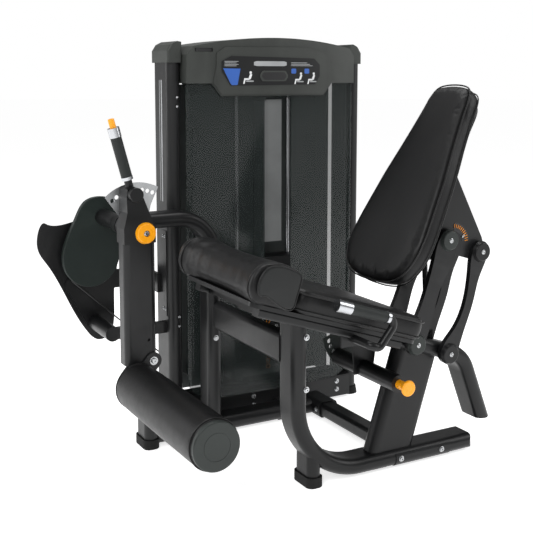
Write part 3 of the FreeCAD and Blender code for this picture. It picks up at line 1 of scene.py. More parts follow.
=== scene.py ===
"""Leg extension machine: materials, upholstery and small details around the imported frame."""
import json
import math

import bmesh
import bpy
from mathutils import Matrix, Vector, noise


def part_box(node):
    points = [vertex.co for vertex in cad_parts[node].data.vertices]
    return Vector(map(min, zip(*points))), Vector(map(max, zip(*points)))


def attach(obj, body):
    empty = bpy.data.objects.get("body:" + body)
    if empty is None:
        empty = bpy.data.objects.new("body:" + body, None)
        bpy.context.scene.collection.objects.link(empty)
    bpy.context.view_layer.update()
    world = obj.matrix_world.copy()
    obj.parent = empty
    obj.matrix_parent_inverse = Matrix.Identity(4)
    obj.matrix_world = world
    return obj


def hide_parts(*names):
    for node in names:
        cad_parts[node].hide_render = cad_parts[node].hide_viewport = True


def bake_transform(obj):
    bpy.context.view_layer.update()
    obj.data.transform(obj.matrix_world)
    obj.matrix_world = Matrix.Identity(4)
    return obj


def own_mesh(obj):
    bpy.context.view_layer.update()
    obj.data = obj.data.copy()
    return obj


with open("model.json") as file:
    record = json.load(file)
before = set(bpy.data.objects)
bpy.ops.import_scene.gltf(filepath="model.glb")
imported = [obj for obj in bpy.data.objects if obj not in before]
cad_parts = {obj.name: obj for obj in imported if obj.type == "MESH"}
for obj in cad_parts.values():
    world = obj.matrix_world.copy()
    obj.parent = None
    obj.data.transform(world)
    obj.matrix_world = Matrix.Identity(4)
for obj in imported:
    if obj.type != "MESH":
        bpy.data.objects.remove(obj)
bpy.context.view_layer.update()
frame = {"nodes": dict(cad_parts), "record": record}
nodes = frame["nodes"]
scene = bpy.context.scene


def at(x, y, z):
    """A point given in the CAD source's millimetres, as a point of the row frame in metres."""
    return Vector(((x - 12.306) / 1000, (y - 264.0) / 1000, z / 1000))


# ------------------------------------------------------------------ materials
def surface(name, color, rough, metallic=0.0, grain=900.0, depth=0.00004, mottle=0.12,
            rough_spread=0.08, wear=0.0, stretch=(1, 1, 1), specular=0.5, cells=False):
    """Principled material with mottled colour, uneven roughness and a fine bump grain."""
    mat = bpy.data.materials.new(name)
    mat.use_nodes = True
    tree = mat.node_tree
    bsdf = tree.nodes["Principled BSDF"]
    bsdf.inputs["Metallic"].default_value = metallic
    bsdf.inputs["Specular IOR Level"].default_value = specular
    coords = tree.nodes.new("ShaderNodeTexCoord")
    mapping = tree.nodes.new("ShaderNodeMapping")
    mapping.inputs["Scale"].default_value = stretch
    tree.links.new(coords.outputs["Object"], mapping.inputs["Vector"])

    cloud = tree.nodes.new("ShaderNodeTexNoise")
    cloud.inputs["Scale"].default_value = 9.0
    cloud.inputs["Detail"].default_value = 5.0
    tree.links.new(mapping.outputs["Vector"], cloud.inputs["Vector"])
    ramp = tree.nodes.new("ShaderNodeValToRGB")
    ramp.color_ramp.elements[0].position = 0.3
    ramp.color_ramp.elements[1].position = 0.7
    ramp.color_ramp.elements[0].color = [c * (1 - mottle) for c in color] + [1]
    ramp.color_ramp.elements[1].color = [min(1.0, c * (1 + mottle)) for c in color] + [1]
    tree.links.new(cloud.outputs["Fac"], ramp.inputs["Fac"])
    tint = ramp.outputs["Color"]

    if wear > 0:
        geometry = tree.nodes.new("ShaderNodeNewGeometry")
        edges = tree.nodes.new("ShaderNodeMapRange")
        edges.inputs["From Min"].default_value = 0.53
        edges.inputs["From Max"].default_value = 0.62
        edges.inputs["To Max"].default_value = wear
        tree.links.new(geometry.outputs["Pointiness"], edges.inputs["Value"])
        mix = tree.nodes.new("ShaderNodeMixRGB")
        mix.inputs["Color2"].default_value = [min(1.0, c * 3 + 0.03) for c in color] + [1]
        tree.links.new(edges.outputs["Result"], mix.inputs["Fac"])
        tree.links.new(tint, mix.inputs["Color1"])
        tint = mix.outputs["Color"]
    tree.links.new(tint, bsdf.inputs["Base Color"])

    patch = tree.nodes.new("ShaderNodeTexNoise")
    patch.inputs["Scale"].default_value = 35.0
    patch.inputs["Detail"].default_value = 3.0
    tree.links.new(mapping.outputs["Vector"], patch.inputs["Vector"])
    spread = tree.nodes.new("ShaderNodeMapRange")
    spread.inputs["To Min"].default_value = max(0.02, rough - rough_spread)
    spread.inputs["To Max"].default_value = min(1.0, rough + rough_spread)
    tree.links.new(patch.outputs["Fac"], spread.inputs["Value"])
    tree.links.new(spread.outputs["Result"], bsdf.inputs["Roughness"])

    if cells:
        fine = tree.nodes.new("ShaderNodeTexVoronoi")
        fine.feature = "DISTANCE_TO_EDGE"
        height = fine.outputs["Distance"]
    else:
        fine = tree.nodes.new("ShaderNodeTexNoise")
        fine.inputs["Detail"].default_value = 2.0
        height = fine.outputs["Fac"]
    fine.inputs["Scale"].default_value = grain
    tree.links.new(mapping.outputs["Vector"], fine.inputs["Vector"])
    bump = tree.nodes.new("ShaderNodeBump")
    bump.inputs["Strength"].default_value = 1.0
    bump.inputs["Distance"].default_value = depth
    tree.links.new(height, bump.inputs["Height"])
    tree.links.new(bump.outputs["Normal"], bsdf.inputs["Normal"])
    return mat


def smoked(name, color, alpha, rough):
    """Tinted sheet that lets the stack show through, with faint waves instead of a grain."""
    mat = surface(name, color, rough, grain=7, depth=0.0006, mottle=0.06, rough_spread=0.03,
                  specular=0.4)
    bsdf = mat.node_tree.nodes["Principled BSDF"]
    bsdf.inputs["Alpha"].default_value = alpha
    return mat


POWDER = surface("powder_coat", (0.0056, 0.0058, 0.0062), 0.34, grain=1500, depth=0.00005, wear=0.2,
                 specular=0.3)
HEADER = surface("header_plastic", (0.034, 0.037, 0.034), 0.42, grain=1100, wear=0.12, specular=0.3)
CAPS = surface("cap_plastic", (0.034, 0.040, 0.037), 0.42, grain=1300, wear=0.12, specular=0.3)
PLACARD = surface("placard_film", (0.012, 0.0125, 0.013), 0.40, grain=600, depth=0.00001,
                  specular=0.25)
SHROUD = smoked("smoked_shroud", (0.022, 0.028, 0.027), 0.50, 0.14)
PANEL = surface("inner_panel", (0.115, 0.12, 0.12), 0.55, grain=30, depth=0.0002)
COVER = surface("rear_cover", (0.055, 0.064, 0.062), 0.55, grain=30, depth=0.0002)
IRON = surface("stack_iron", (0.009, 0.0095, 0.010), 0.48, grain=700, depth=0.0001, wear=0.2,
               specular=0.3)
ROD = surface("rod_steel", (0.62, 0.63, 0.65), 0.16, metallic=1.0, grain=300, depth=0.00001,
              stretch=(1, 1, 0.05))
RUBBER = surface("foot_rubber", (0.008, 0.008, 0.008), 0.72, grain=800, depth=0.00012,
                 specular=0.25)
CABLE = surface("cable_jacket", (0.012, 0.012, 0.012), 0.38, grain=1500)
VINYL = surface("black_vinyl", (0.0050, 0.0050, 0.0053), 0.42, grain=620, depth=0.00014,
                cells=True, rough_spread=0.08, specular=0.26)
PIPING = surface("vinyl_piping", (0.006, 0.006, 0.0062), 0.36, grain=900, depth=0.00008,
                 cells=True, specular=0.35)
SIDE_PANEL = surface("side_panel", (0.012, 0.013, 0.013), 0.46, grain=1300, specular=0.3)
GRIP = surface("grip_rubber", (0.014, 0.0165, 0.016), 0.55, grain=420, depth=0.0003, cells=True,
               specular=0.3)
CHROME = surface("chrome", (0.50, 0.51, 0.53), 0.20, metallic=1.0, grain=200, depth=0.00001,
                 mottle=0.04, rough_spread=0.04)
BOLT = surface("zinc_bolt", (0.50, 0.51, 0.52), 0.27, metallic=1.0, grain=900, mottle=0.08)
BRUSHED = surface("brushed_steel", (0.50, 0.51, 0.52), 0.32, metallic=1.0, grain=900,
                  stretch=(1, 1, 0.03))
YELLOW = surface("yellow_plastic", (0.93, 0.36, 0.006), 0.28, grain=700, depth=0.00002,
                 mottle=0.05, wear=0.1)
CAM_PAINT = surface("cam_paint", (0.013, 0.019, 0.017), 0.45, grain=1400, wear=0.15, specular=0.3)
HUB_CAP = surface("hub_cap", (0.024, 0.029, 0.027), 0.40, grain=1300, wear=0.15, specular=0.3)
BLUE = surface("label_blue", (0.03, 0.11, 0.42), 0.35, grain=500, depth=0.00001, mottle=0.04)
WHITE = surface("label_white", (0.72, 0.73, 0.74), 0.40, grain=500, depth=0.00001, mottle=0.03)
SILVER_INK = surface("label_silver", (0.34, 0.35, 0.36), 0.35, grain=500, depth=0.00001)
ORANGE_INK = surface("label_orange", (0.80, 0.27, 0.01), 0.40, grain=500, depth=0.00001)
DARK_INK = surface("label_dark", (0.010, 0.010, 0.011), 0.40, grain=500, depth=0.00001)

FINISH = {
    "header_grey": HEADER, "cap_plastic": CAPS, "placard_grey": PLACARD, "shroud_smoke": SHROUD,
    "panel_grey": PANEL, "stack_iron": IRON, "rod_steel": ROD, "rubber_black": RUBBER,
    "cable_black": CABLE, "vinyl_black": VINYL, "panel_vinyl": SIDE_PANEL,
    "grip_rubber": GRIP, "chrome_bright": CHROME, "bolt_steel": BOLT,
    "selector_steel": BRUSHED, "accent_yellow": YELLOW, "cam_green": CAM_PAINT,
    "frame_black": POWDER,
}
OWN_FINISH = {"rear_shroud": COVER, "roller_caps": HUB_CAP, "front_link_pins": HUB_CAP}
for part in frame["record"]["subparts"]:
    finish = OWN_FINISH.get(part["node"], FINISH[part["material_slot"]])
    mesh = nodes[part["node"]].data
    mesh.materials.clear()
    mesh.materials.append(finish)


# ------------------------------------------------------------------ mesh helpers
def piece(name, bm, mat, body, smooth=True):
    bmesh.ops.recalc_face_normals(bm, faces=bm.faces)
    mesh = bpy.data.meshes.new(name)
    bm.to_mesh(mesh)
    bm.free()
    mesh.materials.append(mat)
    for face in mesh.polygons:
        face.use_smooth = smooth
    obj = bpy.data.objects.new(name, mesh)
    scene.collection.objects.link(obj)
    if body:
        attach(obj, body)
    return obj


def skin(bm, rings, close_ends=True):
    """Joins equal closed rings of points into a tube; the ends are closed with a fan."""
    loops = [[bm.verts.new(p) for p in ring] for ring in rings]
    count = len(loops[0])
    for a, b in zip(loops, loops[1:]):
        for i in range(count):
            j = (i + 1) % count
            bm.faces.new((a[i], a[j], b[j], b[i]))
    if close_ends:
        for loop in (loops[0], loops[-1]):
            centre = bm.verts.new(sum((v.co for v in loop), Vector()) / count)
            for i in range(count):
                bm.faces.new((loop[i], loop[(i + 1) % count], centre))
    return loops


def frame_of(direction):
    z = direction.normalized()
    x = z.orthogonal().normalized()
    return x, z.cross(x), z


def lathe(bm, centre, axis, profile, steps=40):
    """Turns (radius, distance along axis) pairs about an axis; the ends close on the axis."""
    x, y, z = frame_of(axis)
    rings = []
    for radius, reach in profile:
        rings.append([centre + z * reach + (x * math.cos(t) + y * math.sin(t)) * radius
                      for t in (2 * math.pi * i / steps for i in range(steps))])
    skin(bm, rings)


def bead(name, points, radius, mat, body, closed=False, steps=10):
    """Round cord through points: piping, seams and cables."""
    count = len(points)
    rings = []
    side = None
    for i, p in enumerate(points):
        if closed:
            run = points[(i + 1) % count] - points[i - 1]
        else:
            run = points[min(i + 1, count - 1)] - points[max(i - 1, 0)]
        run.normalize()
        if side is None:
            side = run.orthogonal().normalized()
        side = (side - run * side.dot(run)).normalized()
        up = run.cross(side)
        rings.append([p + (side * math.cos(t) + up * math.sin(t)) * radius
                      for t in (2 * math.pi * k / steps for k in range(steps))])
    bm = bmesh.new()
    if closed:
        loops = skin(bm, rings, close_ends=False)
        first, last = loops[0], loops[-1]
        shift = min(range(steps), key=lambda s: (first[s].co - last[0].co).length)
        for i in range(steps):
            j = (i + 1) % steps
            bm.faces.new((last[i], last[j], first[(j + shift) % steps], first[(i + shift) % steps]))
    else:
        skin(bm, rings)
    return piece(name, bm, mat, body)


def smooth_loop(points, count):
    """Closed Catmull-Rom curve through points, resampled to an even spacing."""
    dense = []
    n = len(points)
    for i in range(n):
        p0, p1, p2, p3 = (points[(i + k - 1) % n] for k in range(4))
        for s in range(24):
            t = s / 24
            dense.append(0.5 * ((2 * p1) + (p2 - p0) * t + (2 * p0 - 5 * p1 + 4 * p2 - p3) * t * t
                                + (3 * p1 - p0 - 3 * p2 + p3) * t * t * t))
    lengths = [0.0]
    for i in range(len(dense)):
        lengths.append(lengths[-1] + (dense[(i + 1) % len(dense)] - dense[i]).length)
    even = []
    k = 0
    for i in range(count):
        goal = lengths[-1] * i / count
        while lengths[k + 1] < goal:
            k += 1
        share = (goal - lengths[k]) / max(1e-9, lengths[k + 1] - lengths[k])
        even.append(dense[k].lerp(dense[(k + 1) % len(dense)], share))
    return even


def puff(obj, cap, pressure=4.0, voxel=0.006):
    """Inflates a pad a little with a cloth simulation, no vertex moving further than cap."""
    scene.frame_set(1)
    bpy.context.view_layer.objects.active = obj
    remesh = obj.modifiers.new("remesh", "REMESH")
    remesh.mode = "VOXEL"
    remesh.voxel_size = voxel
    bpy.ops.object.modifier_apply(modifier="remesh")
    rest = [v.co.copy() for v in obj.data.vertices]
    cloth = obj.modifiers.new("cloth", "CLOTH")
    cloth.settings.quality = 4
    cloth.settings.use_pressure = True
    cloth.settings.uniform_pressure_force = pressure
    cloth.settings.effector_weights.gravity = 0
    cloth.collision_settings.use_collision = False
    for step in range(1, 21):
        scene.frame_set(step)
    swollen = obj.evaluated_get(bpy.context.evaluated_depsgraph_get()).data
    moved = [v.co.copy() for v in swollen.vertices]
    obj.modifiers.remove(cloth)
    for vertex, old, new in zip(obj.data.vertices, rest, moved):
        step = new - old
        if step.length > cap:
            step *= cap / step.length
        vertex.co = old + step
    scene.frame_set(1)


def finish_pad(obj, cap):
    """Cloth inflation, one subdivision and smooth shading for a finished pad shape."""
    puff(obj, cap)
    smooth = obj.modifiers.new("smooth", "SUBSURF")
    smooth.levels = 1
    smooth.render_levels = 1
    for face in obj.data.polygons:
        face.use_smooth = True


# ------------------------------------------------------------------ fasteners
def button_bolt(name, centre, axis, body, head=6.5, tall=4.6, washer=9.0):
    """Button head on a washer, with a round socket recess."""
    bm = bmesh.new()
    s = 0.001
    lathe(bm, centre, axis, [(washer * s, 0), (washer * s, 1.2 * s), (washer * 0.96 * s, 1.5 * s),
                             (head * s, 1.5 * s), (head * s, 2.6 * s),
                             (head * 0.93 * s, tall * 0.8 * s), (head * 0.72 * s, tall * s),
                             (head * 0.5 * s, (tall + 0.35) * s),
                             (head * 0.5 * s, (tall - 1.6) * s)], steps=36)
    obj = piece(name, bm, BOLT, body)
    return obj


def hub_bolts():
    spots = [("front_low", 365, 477, "front_links"), ("front_high", 509, 857, "front_links"),
             ("rear_low", 522, 420, "rear_links"), ("rear_high", 666, 800, "rear_links")]
    for tag, x, z, body in spots:
        button_bolt("hub_bolt_near_" + tag, at(x, -192, z), Vector((0, -1, 0)), body)
        if tag != "front_low":
            button_bolt("hub_bolt_far_" + tag, at(x, 8, z), Vector((0, 1, 0)), body)


# ------------------------------------------------------------------ upholstery
SEAT_O = at(-235, -52, 778)
TILT = math.radians(18)
ALONG = Vector((math.cos(TILT), 0, -math.sin(TILT)))
ABOVE = Vector((math.sin(TILT), 0, math.cos(TILT)))
ACROSS = Vector((0, 1, 0))


def seat_point(along, across, up):
    """Millimetres along the seat's slope, across it and up from its surface."""
    return SEAT_O + (ALONG * along + ACROSS * across + ABOVE * up) / 1000


def crowned_pad(name, outline, depth, thickness, crown, place, seam=0.0, segments=132):
    """Pad over a flat outline: a crowned face, rounded rim, bowed side band and flat back.

    place(u, v, h) turns outline coordinates and a height above the back into a point."""
    loop = smooth_loop([Vector((u, v, 0)) for u, v in outline], segments)
    middle = sum(loop, Vector()) / segments
    rim = 0.014
    profile = [(1.0 - 0.035, 0.0), (1.0 - 0.012, 0.004), (1.0, 0.016)]
    steps = 6
    for k in range(steps + 1):
        h = 0.016 + (thickness - rim - 0.016) * k / steps
        profile.append((1.0 + 0.010 * math.sin(math.pi * k / steps), h))
    for k in range(1, 6):
        a = math.pi / 2 * k / 5
        profile.append((1.0 - (1 - math.cos(a)) * rim / depth, thickness - rim + math.sin(a) * rim))
    inner = profile[-1][0]
    face = []
    count = 22
    for k in range(1, count):
        r = inner * (1 - k / count)
        share = r / inner
        rise = crown * (1 - share ** 2.6)
        face.append((r, thickness + rise))
    bm = bmesh.new()
    rings = []
    for scale, h in profile + face:
        ring = []
        for p in loop:
            q = middle + (p - middle) * scale
            ring.append(place(q.x, q.y, h))
        rings.append(ring)
    skin(bm, rings)
    obj = piece(name, bm, VINYL, None)
    return obj, loop, middle


def loop_on_pad(loop, middle, scale, height, place):
    points = []
    for p in loop:
        q = middle + (p - middle) * scale
        points.append(place(q.x, q.y, height))
    return points


def seat_cushion():
    half = 0.276
    length = 0.555
    corner = 0.045
    outline = []
    for cx, cy, a0 in ((length - corner, half - corner, 0), (corner, half - corner, 90),
                       (corner, -half + corner, 180), (length - corner, -half + corner, 270)):
        for k in range(5):
            a = math.radians(a0 + 22.5 * k)
            outline.append((cx + corner * math.cos(a), cy + corner * math.sin(a)))
        edge = outline[-1]
        nxt = {0: (corner, half), 90: (0, -half + corner), 180: (length - corner, -half),
               270: (length, half - corner)}[a0]
        for k in range(1, 6):
            outline.append((edge[0] + (nxt[0] - edge[0]) * k / 6,
                            edge[1] + (nxt[1] - edge[1]) * k / 6))

    def place(u, v, h):
        return SEAT_O + ALONG * (u + 0.008) + ACROSS * v + ABOVE * (h - 0.0745)

    obj, loop, middle = crowned_pad("seat_pad", outline, 0.28, 0.080, 0.0065, place)
    finish_pad(obj, 0.004)
    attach(obj, "frame")
    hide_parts("seat_cushion")
    ring = loop_on_pad(loop, middle, 1.003, 0.067, place)
    bead("seat_piping", ring, 0.0032, PIPING, "frame", closed=True)
    low = loop_on_pad(loop, middle, 0.995, 0.012, place)
    bead("seat_hem", low, 0.0026, PIPING, "frame", closed=True)


def back_point(across, along, depth):
    lean = math.radians(29)
    up = Vector((math.sin(lean), 0, math.cos(lean)))
    out = Vector((math.cos(lean), 0, -math.sin(lean)))
    return at(209, -52, 722) + ACROSS * across + up * along + out * depth


def backrest():
    half = [(0, 8), (62, 10), (120, 20), (164, 42), (192, 78), (208, 116), (214, 156), (213, 208),
            (206, 268), (194, 344), (181, 424), (165, 496), (150, 562), (136, 630), (123, 700),
            (115, 750), (104, 788), (86, 808), (60, 817), (28, 821), (0, 822)]
    outline = [(x / 1000, y / 1000) for x, y in half]
    outline += [(-x / 1000, y / 1000) for x, y in reversed(half[1:-1])]

    def place(u, v, h):
        return back_point(u, v, 0.0845 - h)

    obj, loop, middle = crowned_pad("backrest_upholstery", outline, 0.2, 0.076, 0.0075, place)
    finish_pad(obj, 0.005)
    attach(obj, "backrest")
    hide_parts("backrest_pad")
    ring = loop_on_pad(loop, middle, 1.004, 0.062, place)
    bead("backrest_seam", ring, 0.0030, PIPING, "backrest", closed=True)
    low = loop_on_pad(loop, middle, 0.996, 0.012, place)
    bead("backrest_hem", low, 0.0026, PIPING, "backrest", closed=True)


def roll_outline(grow):
    """Cross-section of the thigh roll in the seat's own millimetres, front at negative along."""
    front = -182 * grow
    high = 78 * grow - 6
    return [(0, -75), (-1, -40), (-2, 0), (0, high - 34), (-12, high - 14), (-34, high - 5),
            (-78, high), (front + 56, high - 8), (front + 26, high - 24), (front + 6, high - 50),
            (front, high - 78), (front + 3, high - 108), (front + 12, -53), (front + 30, -70),
            (front + 56, -75), (front + 110, -76)]


def thigh_roll():
    stations = [(-280, 0.98), (-215, 0.935), (-150, 0.90), (-75, 0.875), (0, 0.865), (75, 0.875),
                (150, 0.905), (215, 0.965), (280, 1.045)]
    count = 90
    rings = []
    ends = []
    total = 64
    for k in range(total + 1):
        across = -277 + 554 * k / total
        for (a0, g0), (a1, g1) in zip(stations, stations[1:]):
            if a0 <= across <= a1:
                t = (across - a0) / (a1 - a0)
                t = t * t * (3 - 2 * t)
                grow = g0 + (g1 - g0) * t
        inset = 1.0
        gap = min(across + 277, 277 - across)
        if gap < 16:
            inset = 1.0 - 0.075 * (1 - math.sqrt(max(0.0, 1 - ((16 - gap) / 16) ** 2)))
        loop = smooth_loop([Vector((u, v, 0)) for u, v in roll_outline(grow)], count)
        middle = sum(loop, Vector()) / count
        ring = []
        for p in loop:
            q = middle + (p - middle) * inset * 0.985
            ring.append(seat_point(min(q.x, -1.5), across, q.y))
        rings.append(ring)
        if k in (3, total - 3):
            ends.append(list(ring))
    bm = bmesh.new()
    skin(bm, rings)
    obj = piece("thigh_roll_upholstery", bm, VINYL, None)
    finish_pad(obj, 0.004)
    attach(obj, "frame")
    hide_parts("thigh_roll")
    for tag, ring in zip(("near", "far"), ends):
        bead("roll_piping_" + tag, ring, 0.0030, PIPING, "frame", closed=True)


def end_panel():
    """Moulded near end of the thigh roll: squared at the back, round in front, notched below."""
    outline = [(-8, -60), (-6, -20), (-6, 36), (-14, 52), (-34, 59), (-80, 63), (-112, 60),
               (-138, 48), (-154, 24), (-160, -6), (-154, -34), (-140, -46), (-126, -42),
               (-112, -44), (-60, -64), (-30, -70)]
    loop = smooth_loop([Vector((u, v, 0)) for u, v in outline], 96)
    middle = sum(loop, Vector()) / len(loop)
    rings = []
    for scale, across in ((0.86, -290.8), (0.93, -290.4), (0.965, -288.5), (0.98, -281.0),
                          (0.96, -280.0)):
        spread = [middle + (p - middle) * scale for p in loop]
        rings.append([seat_point(p.x, across, p.y) for p in spread])
    bm = bmesh.new()
    skin(bm, rings)
    obj = piece("roll_end_cover", bm, SIDE_PANEL, "frame")
    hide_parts("roll_end_panel")
    spread = [middle + (p - middle) * 0.985 for p in loop]
    rim = [seat_point(p.x, -289.5, p.y) for p in spread]
    bead("roll_end_rim", rim, 0.0022, PIPING, "frame", closed=True)


def ankle_roller():
    low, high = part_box("ankle_roller")
    centre = at(-525, 0, 304)
    near, far = low.y, high.y
    length = far - near
    radius = (high.z - low.z) / 2
    steps = 96
    bm = bmesh.new()
    rings = []
    profile = [(0.84, 0.0), (0.905, 0.0015), (0.955, 0.006), (0.985, 0.014), (0.992, 0.024)]
    for k in range(1, 40):
        profile.append((0.992 + 0.006 * math.sin(math.pi * k / 40),
                        0.024 + (length - 0.048) * k / 40))
    profile += [(r, length - h) for r, h in reversed(profile[:5])]
    for share, h in profile:
        ring = []
        for i in range(steps):
            a = 2 * math.pi * i / steps
            ripple = noise.noise(Vector((math.cos(a) * 2.2, math.sin(a) * 2.2, h * 9))) * 0.0007
            r = radius * share + ripple - 0.0004
            ring.append(Vector((centre.x + r * math.cos(a), near + h, centre.z + r * math.sin(a))))
        rings.append(ring)
    skin(bm, rings)
    obj = piece("ankle_roller_cover", bm, VINYL, None)
    smooth = obj.modifiers.new("smooth", "SUBSURF")
    smooth.levels = 1
    smooth.render_levels = 1
    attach(obj, "ankle_roller")
    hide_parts("ankle_roller")
    angle = math.radians(38)
    seam = []
    for k in range(30):
        r = radius * 0.995
        seam.append(Vector((centre.x + r * math.cos(angle), near + 0.02 + (length - 0.04) * k / 29,
                            centre.z + r * math.sin(angle))))
    bead("roller_seam", seam, 0.0016, PIPING, "ankle_roller")
    for tag, y in (("near", near + 0.010), ("far", far - 0.010)):
        ring = []
        for i in range(72):
            a = 2 * math.pi * i / 72
            ring.append(Vector((centre.x + radius * 0.972 * math.cos(a), y,
                                centre.z + radius * 0.972 * math.sin(a))))
        bead("roller_rim_" + tag, ring, 0.0026, PIPING, "ankle_roller", closed=True)


# ------------------------------------------------------------------ cables
def cables():
    start = at(-609, 880, 619.5)
    finish = at(-75.8, 880, 124.4)
    wound = 0.09                    # share of the run that the cam carries with it
    points = [start.lerp(finish, wound * k / 60) for k in range(60)]
    points += [start.lerp(finish, wound + (1 - wound) * k / 20) for k in range(21)]
    run = bead("cam_cable", points, 0.003, CABLE, None, steps=12)
    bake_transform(run)
    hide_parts("drive_cable_run")
    low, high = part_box("drive_cable_drop")
    x, y = (low.x + high.x) / 2, (low.y + high.y) / 2
    height = high.z - low.z
    points = [Vector((x, y, low.z + height * k / 30)) for k in range(31)]
    drop = bead("stack_cable", points, 0.003, CABLE, "frame", steps=12)
    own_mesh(drop)
    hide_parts("drive_cable_drop")


# ------------------------------------------------------------------ labels and trim
HEADER_HALF = 403.0         # half of the header's width
HEADER_SAG = 30.0           # how far its middle stands forward of its ends
HEADER_MIDDLE = 202.5       # CAD x of its middle
PLACARD_Y = 569.0           # CAD y of the placard's face there


def header_front(x):
    """Row-frame Y of the placard's face at a CAD x, from the bow of the header."""
    radius = (HEADER_HALF ** 2 + HEADER_SAG ** 2) / (2 * HEADER_SAG)
    offset = x - HEADER_MIDDLE
    return (PLACARD_Y + radius - math.sqrt(radius * radius - offset * offset) - 264.0) / 1000


def plaque(name, points, mat, lift=0.0006):
    """Thin label following the bowed header; points are CAD x and z."""
    bm = bmesh.new()
    xs = [p[0] for p in points]
    zs = [p[1] for p in points]
    x0, x1, columns = min(xs), max(xs), 12

    def span(x):
        hits = []
        for (xa, za), (xb, zb) in zip(points, points[1:] + points[:1]):
            if min(xa, xb) <= x <= max(xa, xb) and xa != xb:
                hits.append(za + (zb - za) * (x - xa) / (xb - xa))
        return (min(hits), max(hits)) if hits else (min(zs), max(zs))

    front, back = [], []
    for k in range(columns + 1):
        x = x0 + (x1 - x0) * min(max(k / columns, 0.002), 0.998)
        z0, z1 = span(x)
        y = header_front(x)
        for z in (z0, z1):
            front.append(bm.verts.new(Vector(((x - 12.306) / 1000, y - lift, z / 1000))))
            back.append(bm.verts.new(Vector(((x - 12.306) / 1000, y + 0.0005, z / 1000))))
    for k in range(columns):
        a, b, c, d = 2 * k, 2 * k + 1, 2 * k + 3, 2 * k + 2
        bm.faces.new((front[a], front[d], front[c], front[b]))
        bm.faces.new((back[a], back[b], back[c], back[d]))
        bm.faces.new((front[a], back[a], back[d], front[d]))
        bm.faces.new((front[b], front[c], back[c], back[b]))
    bm.faces.new((front[0], front[1], back[1], back[0]))
    bm.faces.new((front[-2], back[-2], back[-1], front[-1]))
    return piece(name, bm, mat, "frame", smooth=False)


def rounded(x0, z0, x1, z1, r):
    points = []
    for cx, cz, a0 in ((x1 - r, z1 - r, 0), (x0 + r, z1 - r, 90), (x0 + r, z0 + r, 180),
                       (x1 - r, z0 + r, 270)):
        for k in range(5):
            a = math.radians(a0 + 22.5 * k)
            points.append((cx + r * math.cos(a), cz + r * math.sin(a)))
    return points


def figure(name, x, z, size):
    """Plain seated pictogram: a head dot, a leaning back, a thigh and a shin on a small bench."""
    s = size
    head = [(x + 0.52 * s + 0.11 * s * math.cos(t), z + 0.88 * s + 0.11 * s * math.sin(t))
            for t in (2 * math.pi * k / 14 for k in range(14))]
    plaque(name + "_head", head, WHITE)
    plaque(name + "_back", [(x + 0.30 * s, z + 0.36 * s), (x + 0.52 * s, z + 0.36 * s),
                            (x + 0.66 * s, z + 0.76 * s), (x + 0.46 * s, z + 0.76 * s)], WHITE)
    plaque(name + "_thigh", rounded(x - 0.06 * s, z + 0.30 * s, x + 0.42 * s, z + 0.44 * s,
                                    0.05 * s), WHITE)
    plaque(name + "_shin", [(x - 0.14 * s, z), (x - 0.02 * s, z), (x + 0.08 * s, z + 0.34 * s),
                            (x - 0.05 * s, z + 0.34 * s)], WHITE)
    plaque(name + "_bench", rounded(x + 0.12 * s, z + 0.16 * s, x + 0.80 * s, z + 0.26 * s,
                                    0.04 * s), SILVER_INK)


def placard():
    """Generic instruction placard: a blank title bar, tinted chips, plain figures, blank badge."""
    plaque("placard_chip_left", [(-51, 1497), (25, 1496), (12, 1429), (-16, 1429)], BLUE)
    plaque("placard_title", rounded(86, 1507, 241, 1527, 5), SILVER_INK)
    plaque("placard_badge", rounded(114, 1444, 246, 1488, 18), HEADER, lift=0.0025)
    plaque("placard_badge_face", rounded(122, 1450, 238, 1482, 13), DARK_INK, lift=0.0031)
    figure("figure_left", 44, 1434, 52)
    for k, x in enumerate((264, 330)):
        plaque("placard_chip_right_%d" % k, rounded(x, 1476, x + 24, 1497, 4), BLUE)
        figure("figure_right_%d" % k, x + 22, 1432, 50)
    for k in range(4):
        plaque("placard_line_%d" % k, rounded(-46, 1506 + 6 * k, 8 + 9 * (k % 2), 1508.4 + 6 * k,
                                              1.0), SILVER_INK)
    for k in range(3):
        plaque("placard_note_%d" % k, rounded(262, 1508 + 6 * k, 372 - 14 * k, 1510.4 + 6 * k, 1.0),
               SILVER_INK)


def tag_box(bm, centre, sx, sy, sz):
    bmesh.ops.create_cube(bm, size=1.0, matrix=Matrix.Translation(centre)
                          @ Matrix.Diagonal((sx, sy, sz, 1)))


PLATES = 18
STAYING = 12                # lower plates, below the selector pin
STACK_BASE = 150.0          # height of the lowest plate's underside
PLATE_PITCH = 26.0


def plate_numbers():
    """Number tags on the plates: plain weights that count up by five, with pin-hole rings."""
    for index in range(PLATES):
        lifted = index >= STAYING
        level = STACK_BASE + PLATE_PITCH * (index + 0.5) + (1.0 if lifted else 0.0)
        body = "weight_lift" if lifted else "frame"
        number = PLATES - index
        bm = bmesh.new()
        tag_box(bm, at(292, 744.4, level), 0.034, 0.0012, 0.015)
        bmesh.ops.bevel(bm, geom=bm.edges, offset=0.0004, segments=1, affect="EDGES")
        piece("plate_tag_%02d" % number, bm, DARK_INK, body, smooth=False)
        text = bpy.data.curves.new("plate_number_%02d" % number, "FONT")
        text.body = str(number * 5)
        text.size = 0.014
        text.extrude = 0.0002
        text.align_x = "CENTER"
        text.align_y = "CENTER"
        text.materials.append(WHITE)
        obj = bpy.data.objects.new("plate_number_%02d" % number, text)
        scene.collection.objects.link(obj)
        obj.rotation_euler = (math.pi / 2, 0, 0)
        obj.location = at(292, 743.4, level)
        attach(obj, body)
        ring = [at(250 + 9 * math.cos(a), 744.6, level + 9 * math.sin(a))
                for a in (2 * math.pi * k / 28 for k in range(28))]
        bead("pin_ring_%02d" % number, ring, 0.0014, ORANGE_INK, body,
             closed=True, steps=8)


